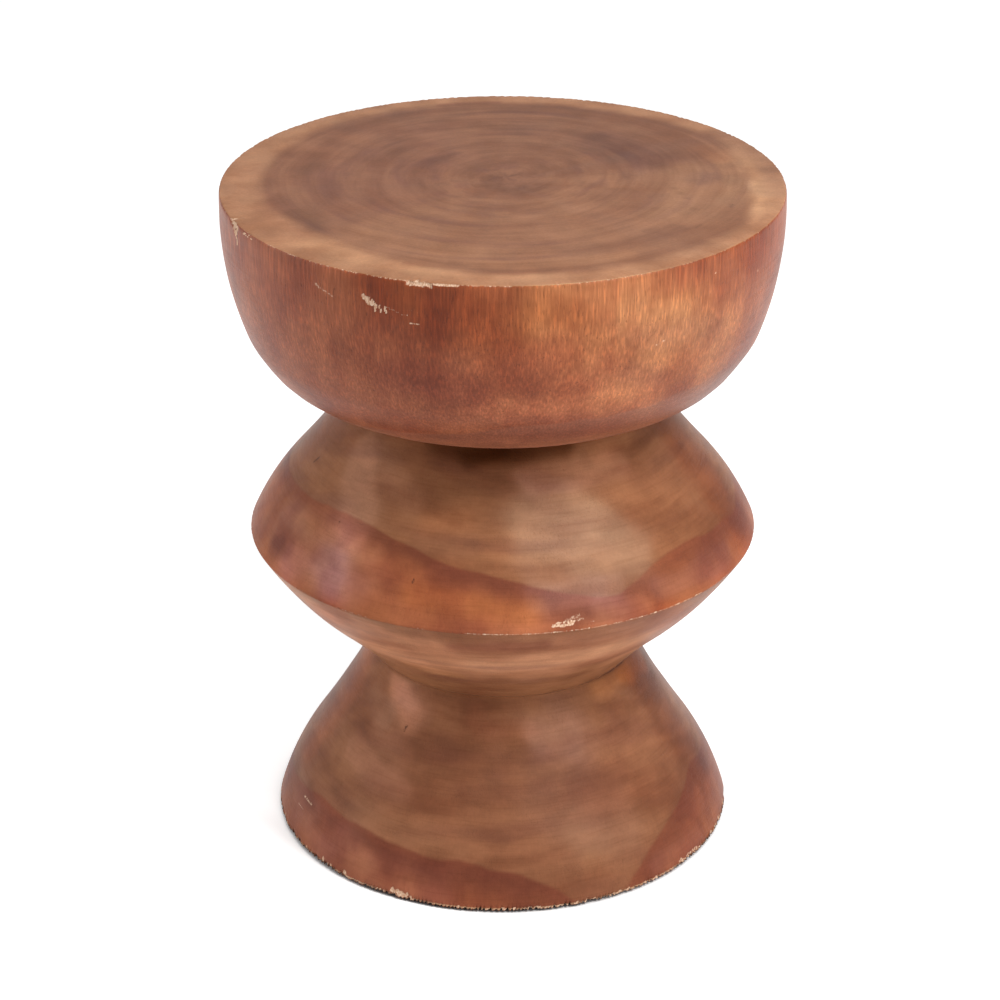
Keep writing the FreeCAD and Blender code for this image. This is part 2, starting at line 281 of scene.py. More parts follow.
@dataclass(frozen=True)
class LogWood(Finish):
    """Satin lacquer over the wood of one log, which runs as a solid grain through all its blocks.

    The heartwood ends at a radius that changes round the log, over a border on each side of it, and a dark
    line lies where the sapwood begins.
    Below rim the grain of the side breaks up from long streaks into flecks, over the distance of rim_fade.
    A strength says how much of a layer shows, and a tone how dark or pale it is.
    """

    pith: tuple[float, float, float] = (1.5, 13.0, 0.0)
    pith_drift: float = 24.0
    pith_tremble: float = 4.0
    heart_deep: Colour = linear(130, 80, 54)
    heart_pale: Colour = linear(160, 107, 74)
    heart_smoke: Colour = linear(120, 74, 56)
    smoke_strength: float = 0.6
    band_share: float = 0.55
    thin_band_share: float = 0.2
    mottle_share: float = 0.25
    sap_deep: Colour = linear(140, 76, 52)
    sap_pale: Colour = linear(166, 98, 64)
    line_dark: Colour = linear(110, 60, 46)
    border: float = 0.8
    border_wander: float = 5.0
    line_strength: float = 0.75
    line_rise: tuple[float, float] = (-1.2, 0.6)
    line_solid: float = 2.0
    line_width: float = 11.0
    line_smoke_share: float = 0.6
    bare: Colour = linear(240, 210, 182)
    bare_deep: Colour = linear(204, 152, 118)
    stain: Colour = linear(88, 54, 41)
    splinter_strength: float = 2.4
    ribbon_share: float = 0.12
    pore_strength: float = 0.14
    pore_tone: float = 0.3
    fibre_strength: float = 0.12
    fibre_tone: float = 0.55
    fleck_tone: float = 1.35
    fibre_per_mm: float = 0.55
    fibre_per_mm_up: float = 0.022
    turning_strength: float = 0.2
    turning_tone: float = 0.6
    turning_turns: float = 5.0
    turning_per_mm: float = 0.9
    ring_strength: float = 0.1
    ring_tone: float = 0.7
    patch_strength: float = 0.08
    rim: float = 0.0
    rim_fade: float = 0.0
    specular: float = 0.05
    roughness: float = 0.36
    turning_roughness: float = 0.16
    bare_roughness: float = 0.4
    relief: float = 0.12
    turning_relief: float = 0.5
    pore_relief: float = -0.8
    pebble_relief: float = 0.9

    def build(self, graph: NodeGraph) -> bpy.types.Material:
        """Lays the nodes of the finish, which reads the wear and the tint of stain colour and painted light
        kept on the mesh's points.

        Args:
            graph: The finish's nodes.

        Returns:
            The material.
        """
        place = graph.place()
        grain = self.grain(graph, place)
        fibres = graph.noise(grain, (self.fibre_per_mm, self.fibre_per_mm, self.fibre_per_mm_up), 3.0)
        pores = self.pores(graph, grain)
        streaks = self.tool_streaks(graph, place)
        splinters = graph.math("SUBTRACT", graph.noise(place, (1.5, 1.5, 0.4), 3.0), 0.5)
        bare = graph.span(self.broken(graph, "bare", splinters), 0.3, 0.8)
        wood = self.grained(graph, self.wood(graph, place), fibres, pores, streaks)
        wood = self.mottled_and_tinted(graph, wood, place)
        graph.feed(graph.shader.inputs["Base Color"], self.worn(graph, wood, splinters, bare))
        graph.feed(graph.shader.inputs["Specular IOR Level"], self.specular)
        smoothest = self.roughness - self.turning_roughness / 2
        gloss = graph.math("MULTIPLY_ADD", streaks, self.turning_roughness, smoothest)
        gloss = graph.math("MULTIPLY_ADD", bare, self.bare_roughness, gloss)
        graph.feed(graph.shader.inputs["Roughness"], gloss)
        pebbles = graph.noise(place, (1.1, 1.1, 1.1), 2.0)
        relief = graph.math("MULTIPLY_ADD", streaks, self.turning_relief, fibres)
        relief = graph.math("MULTIPLY_ADD", pores, self.pore_relief, relief)
        relief = graph.math("MULTIPLY_ADD", pebbles, self.pebble_relief, relief)
        graph.bump(relief, self.relief)
        return graph.material

    def grain(self, graph: NodeGraph, place: Socket) -> Socket:
        """Lets the height of the grain run on faster, the deeper a point lies below the rim.

        Args:
            graph: The finish's nodes.
            place: Where the point is.

        Returns:
            The place of the point for the grain.
        """
        if not self.rim:
            return place
        axes = graph.axes(place)
        depth = graph.math("SUBTRACT", self.rim, axes["Z"])
        run = graph.math("MULTIPLY", depth, graph.math("MULTIPLY_ADD", depth, 1 / self.rim_fade, 1.0))
        joined = graph.node("ShaderNodeCombineXYZ")
        for name, value in (("X", axes["X"]), ("Y", axes["Y"]), ("Z", run)):
            graph.feed(joined.inputs[name], value)
        return joined.outputs[0]

    def grained(
        self, graph: NodeGraph, wood: Socket, fibres: Socket, pores: Socket, streaks: Socket
    ) -> Socket:
        """Draws the fine grain and the turning marks into the wood.

        Args:
            graph: The finish's nodes.
            wood: The colour of the plain wood.
            fibres: The noise of the fibres, which gives dark streaks and pale flecks.
            pores: Where pores are open.
            streaks: The noise of the turning marks.

        Returns:
            The colour.
        """
        layers = (
            (graph.span(fibres, 0.4, 0.66, 0.0, self.fibre_strength), self.fibre_tone),
            (graph.span(fibres, 0.34, 0.46, self.fibre_strength, 0.0), self.fleck_tone),
            (graph.math("MULTIPLY", pores, self.pore_strength), self.pore_tone),
            (graph.span(streaks, 0.48, 0.68, 0.0, self.turning_strength), self.turning_tone),
        )
        for share, tone in layers:
            wood = graph.blend(share, wood, self.shaded(graph, wood, tone))
        return wood

    def mottled_and_tinted(self, graph: NodeGraph, wood: Socket, place: Socket) -> Socket:
        """Mottles the wood, and multiplies it by the tint kept on the mesh, which holds stain colour and
        tone, and painted shade, shadows and highlights.

        Args:
            graph: The finish's nodes.
            wood: The colour of the grained wood.
            place: Where the point is.

        Returns:
            The colour.
        """
        patches = graph.noise(place, (0.05, 0.05, 0.1), 5.0)
        tone = graph.span(patches, 0.32, 0.68, 1 + self.patch_strength, 1 - self.patch_strength)
        wood = graph.blend(1.0, wood, tone, "MULTIPLY")
        return graph.blend(1.0, wood, graph.attribute("tint", "Color"), "MULTIPLY")

    def worn(self, graph: NodeGraph, wood: Socket, splinters: Socket, bare: Socket) -> Socket:
        """Lays dirt and then bare wood over the lacquered wood.

        Args:
            graph: The finish's nodes.
            wood: The colour of the lacquered wood.
            splinters: The noise that breaks up the wear.
            bare: How bare the wood is.

        Returns:
            The colour.
        """
        dark = graph.span(self.broken(graph, "dark", splinters), 0.25, 0.85)
        bare_wood = graph.blend(graph.span(splinters, -0.2, 0.2), self.bare_deep, self.bare)
        return graph.blend(bare, graph.blend(dark, wood, self.stain), bare_wood)

    def broken(self, graph: NodeGraph, name: str, splinters: Socket) -> Socket:
        """The wear of a name that is kept on the mesh, broken up by the splinters of the grain."""
        share = graph.math("MULTIPLY_ADD", splinters, self.splinter_strength, 1.0)
        return graph.math("MULTIPLY", graph.attribute(name), share)

    def beyond_heart(self, graph: NodeGraph, place: Socket) -> Socket:
        """Measures how far a point lies outside the heartwood, whose edge wanders.

        Args:
            graph: The finish's nodes.
            place: Where the point is.

        Returns:
            The distance, in millimetres.
        """
        across = graph.vector("LENGTH", graph.vector("MULTIPLY", place, (1.0, 1.0, 0.0)))
        beyond = graph.math("SUBTRACT", across, graph.attribute("bound"))
        wander = graph.noise(place, (0.03, 0.03, 0.02), 2.0)
        wander = graph.math("MULTIPLY_ADD", wander, self.border_wander, -self.border_wander / 2)
        return graph.math("ADD", beyond, wander)

    def from_pith(self, graph: NodeGraph, place: Socket) -> Socket:
        """Measures from the wandering pith.

        Args:
            graph: The finish's nodes.
            place: Where the point is.

        Returns:
            The level offset of the point from the pith.
        """
        offset = graph.vector("SUBTRACT", place, self.pith)
        offset = graph.vector("ADD", offset, graph.drift(place, (0.006, 0.006, 0.004), self.pith_drift))
        offset = graph.vector("ADD", offset, graph.drift(place, (0.03, 0.03, 0.015), self.pith_tremble))
        return graph.vector("MULTIPLY", offset, (1.0, 1.0, 0.0))

    def ring_noise(
        self, graph: NodeGraph, offset: Socket, turns: float, per_mm: float, shift: float
    ) -> Socket:
        """Noise that is drawn out along the growth rings.

        Args:
            graph: The finish's nodes.
            offset: The level offset from the pith.
            turns: How often the noise changes round the log.
            per_mm: Features in a millimetre, across the rings.
            shift: Moves the noise, so that two of them differ.

        Returns:
            The noise, from 0 to 1 around one half.
        """
        around = graph.vector("MULTIPLY", graph.vector("NORMALIZE", offset), (turns, turns, 0.0))
        across = graph.node("ShaderNodeCombineXYZ")
        outward = graph.math("MULTIPLY_ADD", graph.vector("LENGTH", offset), per_mm, shift)
        graph.feed(across.inputs["Z"], outward)
        return graph.noise(graph.vector("ADD", around, across.outputs[0]), (1.0, 1.0, 1.0), 2.0)

    def wood(self, graph: NodeGraph, place: Socket) -> Socket:
        """Joins heartwood, dark line and sapwood.

        Args:
            graph: The finish's nodes.
            place: Where the point is.

        Returns:
            The colour.
        """
        offset = self.from_pith(graph, place)
        smoke = self.ring_noise(graph, offset, turns=1.4, per_mm=0.07, shift=80.0)
        mottle = graph.noise(place, (0.03, 0.03, 0.02), 3.0)
        heart = self.heartwood(graph, offset, smoke, mottle)
        sap = self.sapwood(graph, place, mottle)
        beyond = self.beyond_heart(graph, place)
        wood = graph.blend(graph.span(beyond, -self.border, self.border), heart, sap)
        rise = graph.span(beyond, *self.line_rise)
        fall = graph.span(beyond, self.line_solid, self.line_width, 1.0, 0.0)
        weakest = self.line_strength * self.line_smoke_share
        strength = graph.span(smoke, 0.35, 0.65, self.line_strength, weakest)
        share = graph.math("MULTIPLY", graph.math("MULTIPLY", rise, fall), strength)
        return graph.blend(share, wood, self.line_dark)

    def heartwood(self, graph: NodeGraph, offset: Socket, smoke: Socket, mottle: Socket) -> Socket:
        """Lays the bands, smoke and growth rings of the heartwood.

        Args:
            graph: The finish's nodes.
            offset: The level offset from the pith.
            smoke: The noise of smoky stretches.
            mottle: The noise of broad clouds.

        Returns:
            The colour.
        """
        bands = self.ring_noise(graph, offset, turns=0.9, per_mm=0.045, shift=0.0)
        thin_bands = self.ring_noise(graph, offset, turns=1.6, per_mm=0.2, shift=40.0)
        rings = self.ring_noise(graph, offset, turns=2.4, per_mm=0.5, shift=120.0)
        tone = graph.math("MULTIPLY", thin_bands, self.thin_band_share)
        tone = graph.math("MULTIPLY_ADD", bands, self.band_share, tone)
        tone = graph.math("MULTIPLY_ADD", mottle, self.mottle_share, tone)
        heart = graph.blend(graph.span(tone, 0.38, 0.62), self.heart_deep, self.heart_pale)
        heart = graph.blend(graph.span(smoke, 0.5, 0.75, 0.0, self.smoke_strength), heart, self.heart_smoke)
        ring_share = graph.span(rings, 0.5, 0.68, 0.0, self.ring_strength)
        return graph.blend(ring_share, heart, self.shaded(graph, heart, self.ring_tone))

    def sapwood(self, graph: NodeGraph, place: Socket, mottle: Socket) -> Socket:
        """Lays the clouds and ribbons of the sapwood.

        Args:
            graph: The finish's nodes.
            place: Where the point is.
            mottle: The noise of broad clouds.

        Returns:
            The colour.
        """
        ribbons = graph.noise(place, (0.11, 0.11, 0.007), 3.0)
        tone = graph.math("MULTIPLY", ribbons, self.ribbon_share)
        tone = graph.math("MULTIPLY_ADD", mottle, 1 - self.ribbon_share, tone)
        return graph.blend(graph.span(tone, 0.33, 0.67), self.sap_deep, self.sap_pale)

    def pores(self, graph: NodeGraph, grain: Socket) -> Socket:
        """Opens pores, which run along the log: dashes on upright faces, dots across the grain.

        Args:
            graph: The finish's nodes.
            grain: Where the point is in the grain.

        Returns:
            How open the pore is there, from 0 to 1.
        """
        pores = graph.span(graph.noise(grain, (1.4, 1.4, 0.07), 1.0), 0.58, 0.7)
        crowd = graph.span(graph.noise(grain, (0.05,) * 3, 1.0), 0.35, 0.65, 0.3, 1.0)
        return graph.math("MULTIPLY", pores, crowd)

    def tool_streaks(self, graph: NodeGraph, place: Socket) -> Socket:
        """Draws faint turning marks that run round the block.

        Args:
            graph: The finish's nodes.
            place: Where the point is.

        Returns:
            Their noise, from 0 to 1 around one half.
        """
        flat = graph.vector("MULTIPLY", place, (1.0, 1.0, 0.0))
        turns = (self.turning_turns, self.turning_turns, 0.0)
        round_log = graph.vector("MULTIPLY", graph.vector("NORMALIZE", flat), turns)
        height = graph.vector("MULTIPLY", place, (0.0, 0.0, self.turning_per_mm))
        return graph.noise(graph.vector("ADD", round_log, height), (1.0, 1.0, 1.0), 3.0)


SIDE_WOOD = LogWood("lacquered_side", fibre_strength=0.07)
SEAT_WOOD = LogWood(
    "lacquered_seat_side",
    heart_deep=linear(142, 80, 58),
    heart_pale=linear(158, 94, 66),
    heart_smoke=linear(134, 74, 56),
    sap_deep=linear(138, 68, 42),
    sap_pale=linear(168, 95, 62),
    line_strength=0.0,
    ribbon_share=0.3,
    pore_strength=0.5,
    fibre_strength=0.5,
    fibre_per_mm=0.8,
    turning_strength=0.0,
    rim=450.0,
    rim_fade=16.0,
    specular=0.2,
    roughness=0.38,
)
# The top's colours are paler and greyer than its wood: a painted sheen of the white reflection over the top.
TOP_WOOD = LogWood(
    "top_with_painted_sheen",
    heart_deep=linear(127, 82, 59),
    heart_pale=linear(148, 101, 75),
    heart_smoke=linear(118, 76, 61),
    sap_deep=linear(164, 112, 80),
    sap_pale=linear(184, 133, 99),
    border=7.0,
    line_strength=0.0,
    turning_strength=0.0,
    ring_strength=0.24,
    specular=0.14,
    roughness=0.55,
)
UNDERSIDE_WOOD = LogWood(
    "sawn_underside",
    heart_deep=linear(140, 98, 70),
    heart_pale=linear(180, 134, 98),
    heart_smoke=linear(126, 88, 68),
    sap_deep=linear(190, 144, 104),
    sap_pale=linear(210, 166, 126),
    line_dark=linear(122, 82, 60),
    line_strength=0.4,
    pore_strength=0.5,
    specular=0.15,
    roughness=0.75,
    relief=0.4,
)


@dataclass(frozen=True)
class PressedFelt(Finish):
    """Dark pressed felt, clouded and hairy."""

    deep: Colour = linear(38, 32, 28)
    pale: Colour = linear(84, 72, 62)
    hair_share: float = 0.7
    roughness: float = 0.95
    specular: float = 0.1
    relief: float = 0.3

    def build(self, graph: NodeGraph) -> bpy.types.Material:
        """Lays fine hairs over broad clouds.

        Args:
            graph: The finish's nodes.

        Returns:
            The material.
        """
        place = graph.place()
        hairs = graph.noise(place, (2.2, 2.2, 2.2), 4.0)
        clouds = graph.noise(place, (0.2, 0.2, 0.2), 2.0)
        tone = graph.math("MULTIPLY", clouds, 1 - self.hair_share)
        tone = graph.math("MULTIPLY_ADD", hairs, self.hair_share, tone)
        felt = graph.blend(graph.span(tone, 0.35, 0.65), self.deep, self.pale)
        graph.feed(graph.shader.inputs["Base Color"], felt)
        graph.feed(graph.shader.inputs["Roughness"], self.roughness)
        graph.feed(graph.shader.inputs["Specular IOR Level"], self.specular)
        graph.bump(hairs, self.relief)
        return graph.material


@dataclass(frozen=True)
class DowelWood(Finish):
    """Pale beech with short dark rays along its grain."""

    deep: Colour = linear(176, 128, 86)
    pale: Colour = linear(214, 172, 126)
    ray: Colour = linear(140, 92, 58)
    ray_strength: float = 0.6
    roughness: float = 0.6
    relief: float = 0.1

    def build(self, graph: NodeGraph) -> bpy.types.Material:
        """Lays long bands and short rays.

        Args:
            graph: The finish's nodes.

        Returns:
            The material.
        """
        place = graph.place()
        bands = graph.noise(place, (0.4, 0.4, 0.02), 3.0)
        rays = graph.noise(place, (2.0, 2.0, 0.4), 1.0)
        wood = graph.blend(graph.span(bands, 0.35, 0.65), self.deep, self.pale)
        wood = graph.blend(graph.span(rays, 0.6, 0.72, 0.0, self.ray_strength), wood, self.ray)
        graph.feed(graph.shader.inputs["Base Color"], wood)
        graph.feed(graph.shader.inputs["Roughness"], self.roughness)
        graph.bump(bands, self.relief)
        return graph.material


@dataclass(frozen=True)
class TackSteel(Finish):
    """Plated steel with a dull bloom."""

    bright: Colour = linear(196, 194, 188)
    dull: Colour = linear(142, 138, 130)
    smooth: float = 0.25
    rough: float = 0.5
    relief: float = 0.02

    def build(self, graph: NodeGraph) -> bpy.types.Material:
        """Clouds the plating and its gloss.

        Args:
            graph: The finish's nodes.

        Returns:
            The material.
        """
        bloom = graph.noise(graph.place(), (0.9, 0.9, 0.9), 3.0)
        graph.feed(graph.shader.inputs["Base Color"], graph.blend(bloom, self.bright, self.dull))
        graph.feed(graph.shader.inputs["Metallic"], 1.0)
        graph.feed(graph.shader.inputs["Roughness"], graph.span(bloom, 0.3, 0.7, self.smooth, self.rough))
        graph.bump(bloom, self.relief)
        return graph.material


PAD_FELT = PressedFelt("pressed_felt")
DOWEL_WOOD = DowelWood("beech_dowel")
TACK_STEEL = TackSteel("plated_tack")


@dataclass(frozen=True)
class Knot:
    """A corner of an outline, and the side that leaves it.

    bend is the radius of that side: above 0 it bulges away from the axis, below 0 it is hollow, and 0 is
    straight. step is the spacing of the mesh's rows along the side, which at its far end is closing times as
    much, and rounding eases the corner itself.
    """

    across: float
    up: float
    bend: float = 0.0
    step: float = 2.2
    rounding: float = 0.0
    closing: float = 1.0


def side_points(first: Knot, last: Knot, trims: tuple[float, float]) -> Points:
    """Points along one side of an outline, less what its corners' roundings take.

    Args:
        first: The corner that the side leaves.
        last: The corner that it reaches.
        trims: The length taken off at each end.

    Returns:
        Rows of across and up, both ends included.
    """
    start, end = np.array((first.across, first.up)), np.array((last.across, last.up))
    chord = end - start
    length = float(np.hypot(*chord))
    count = max(1, round((length - sum(trims)) / first.step / (1 + first.closing) * 2))
    shares = np.linspace(0, 1, count + 1)
    shares += (1 - first.closing) / (1 + first.closing) * shares * (1 - shares)
    shares = (trims[0] + shares * (length - sum(trims))) / length
    if not first.bend:
        return start + shares[:, None] * chord
    outward = np.array((chord[1], -chord[0])) / length
    radius = abs(first.bend)
    half = math.asin(length / 2 / radius)
    swing = (shares * 2 - 1) * half
    sag = (np.cos(swing) - math.cos(half)) * radius * math.copysign(1, first.bend)
    along = (np.sin(swing) / math.sin(half) + 1) / 2
    return start + along[:, None] * chord + sag[:, None] * outward


WIDE_ROUNDING = 5.0
WIDE_CORNER_STEPS = 6
CORNER_STEPS = 4


def corner_points(before: Points, corner: Knot, after: Points) -> Points:
    """Draws a smooth curve round a corner.

    Args:
        before: The points of the side that reaches it.
        corner: The corner.
        after: The points of the side that leaves it.

    Returns:
        The points of the curve between the ends of the two sides.
    """
    start, middle, end = before[-1], np.array((corner.across, corner.up)), after[0]
    count = WIDE_CORNER_STEPS if corner.rounding > WIDE_ROUNDING else CORNER_STEPS
    share = np.linspace(0, 1, count + 1)[1:-1, None]
    return (1 - share) ** 2 * start + 2 * share * (1 - share) * middle + share**2 * end


def heading(first: Knot, last: Knot, at_end: bool) -> float:
    """Finds the direction of a side at one of its ends.

    Args:
        first: The corner that the side leaves.
        last: The corner that it reaches.
        at_end: Whether the direction at the last corner is meant.

    Returns:
        The direction, in radians.
    """
    run = (last.across - first.across, last.up - first.up)
    chord = math.atan2(run[1], run[0])
    if not first.bend:
        return chord
    half = math.asin(math.hypot(*run) / 2 / first.bend)
    return chord + half if at_end else chord - half


def trim_at(before: Knot, corner: Knot, after: Knot) -> float:
    """Finds what a corner's rounding takes off the sides beside it.

    Args:
        before: The corner before it.
        corner: The corner.
        after: The corner after it.

    Returns:
        The length taken off each side.
    """
    turn = heading(corner, after, False) - heading(before, corner, True)
    turn = abs((turn + math.pi) % (2 * math.pi) - math.pi)
    return corner.rounding * math.tan(turn / 2)


def outline_rows(knots: Sequence[Knot]) -> Points:
    """Samples an outline into the rows of a turned mesh.

    Args:
        knots: The corners, in order.

    Returns:
        Rows of across and up.
    """
    trims = [0.0] + [trim_at(*knots[index - 1:index + 2]) for index in range(1, len(knots) - 1)] + [0.0]
    sides = [side_points(*knots[i:i + 2], (trims[i], trims[i + 1])) for i in range(len(knots) - 1)]
    rows = [sides[0]]
    for before, corner, after in zip(sides, knots[1:], sides[1:]):
        if corner.rounding:
            rows += [corner_points(before, corner, after), after]
        else:
            rows.append(after[1:])
    return np.concatenate(rows)


@dataclass(frozen=True)
class Mark:
    """A mark along a line on a turned surface, which spreads to a reach on each side of it.

    A place is an angle and a height, and on a level face also a distance from the axis.
    """

    first: Place
    last: Place
    reach: float


@dataclass(frozen=True)
class Chip(Mark):
    """A place where the surface is broken away to bare wood, to a depth."""

    depth: float = 0.5


@dataclass(frozen=True)
class StainAndPaintedLight(Mark):
    """A soft patch where the colour is multiplied by a tint: stain colour and tone, and also painted shade,
    shadows and highlights. A higher edge has a crisper border.
    """

    tint: Colour = (1.0, 1.0, 1.0)
    edge: float = 5.0


@dataclass(frozen=True)
class Sector:
    """A part of a level face whose colour is multiplied by a tint.

    It lies between two angles and two distances from the axis, and eases off at its border.
    """

    first: float
    last: float
    inner: float
    outer: float
    ease: float
    tint: Colour


class Trace(Enum):
    """What a thin line on the surface shows."""

    PALE = "bare"
    DARK = "dark"


@dataclass(frozen=True)
class Stroke(Mark):
    """A thin scratch, crack or pin knot."""

    trace: Trace = Trace.DARK
    strength: float = 0.8


@dataclass(frozen=True)
class WornEdge:
    """An edge of the outline that is chafed: bare or dirty in places, and eaten away in small teeth.

    bare and dirt are shares at angles round the edge, which ease from one to the next. Dirt reaches further
    than bare wood, by dirt_reach. ragged and teeth are the weights of coarse, middling and fine waves in the
    wear's border and in the teeth, which are tooth_depth deep without them.
    """

    across: float
    height: float
    reach: float
    dirt_reach: float
    bite: float
    seed: int
    bare: AngleTable = ((0, 0.0),)
    dirt: AngleTable = ((0, 0.0),)
    core: float = 1.25
    ragged: tuple[float, float, float] = (0.4, 0.35, 0.3)
    teeth: tuple[float, float, float] = (0.25, 0.3, 0.55)
    tooth_depth: float = 0.35
    tooth_limits: tuple[float, float] = (-0.3, 1.5)

    def nearness(self, away: Points, reach: float) -> Points:
        """How near points are to the edge: 1 beside it, and 0 a little beyond the reach."""
        return np.clip(self.core - away / reach, 0, 1)


DEGREES_PER_MM = 0.33
CRUMB_REACH = 0.35
CRUMB_GROWTH = 0.45
CRUMB_DEPTH = 0.2


def strewn(first: Place, last: Place, spread: float, count: int, long: Place, seed: int) -> tuple[Chip, ...]:
    """Small chips strewn along a line, as where something hard rubbed the surface.

    Args:
        first: The angle and height where the rubbing begins.
        last: Where it ends.
        spread: How far the chips lie from the line.
        count: How many chips there are.
        long: The greatest length of a chip, level and upright.
        seed: Which chips.

    Returns:
        The chips.
    """
    draw = np.random.default_rng(seed)
    chips = []
    for share, aside, above, part, growth in draw.uniform(0, 1, (count, 5)):
        angle = first[0] + share * (last[0] - first[0]) + (aside * 2 - 1) * spread * DEGREES_PER_MM
        height = first[1] + share * (last[1] - first[1]) + (above * 2 - 1) * spread
        end = (angle + part * long[0] * DEGREES_PER_MM, height + part * long[1])
        chips.append(Chip((angle, height), end, CRUMB_REACH + CRUMB_GROWTH * growth, CRUMB_DEPTH))
    return tuple(chips)


@dataclass(frozen=True)
class Ripple:
    """Random waves: the fewest and the most in a turn, the shortest along the outline, and their count."""

    fewest: int
    most: int
    along: float
    count: int = 32


CHIP_RIPPLE = Ripple(60, 260, 3.0)
PATCH_RIPPLE = Ripple(3, 24, 40.0)
SECTOR_RIPPLE = Ripple(2, 14, 30.0)
COARSE_RIPPLE = Ripple(4, 26, 60.0)
MIDDLING_RIPPLE = Ripple(30, 120, 40.0)
FINE_RIPPLE = Ripple(160, 440, 20.0)
WAVER_RIPPLE = Ripple(1, 8, 70.0)

MOST_WEAR = 1.5
CHIP_SLOPE = 1.8
CHIP_RAGGED = 0.4
CHIP_FRINGE = 0.3
STROKE_CORE = 1.2
STROKE_FADE = 2
PATCH_WANDER = 0.2
PATCH_LEVEL = 0.3
SECTOR_LEVEL = 0.5
SECTOR_SLOPE = 4
WAVER_EASE = 10
WAVER_START = 0.3
HEART_EASE = 15
ALL_HEART_MARGIN = 10
SPOT_SLACK = 0.5
STEEPEST = 30


def weighted(start: float, weights: Sequence[float], waves: Sequence[Points]) -> Points:
    """A start plus the weighted sum of some waves."""
    return sum((weight * wave for weight, wave in zip(weights, waves)), start)


def eased_share(outside: Points) -> Points:
    """A share that falls from 1 to 0 about the place where a number passes 0."""
    return 1 / (1 + np.exp(np.clip(outside, -STEEPEST, STEEPEST)))


def turn_from(angles: Points, middle: float) -> Points:
    """How far angles lie from a middle one, the shorter way round."""
    return (angles - middle + 180) % 360 - 180


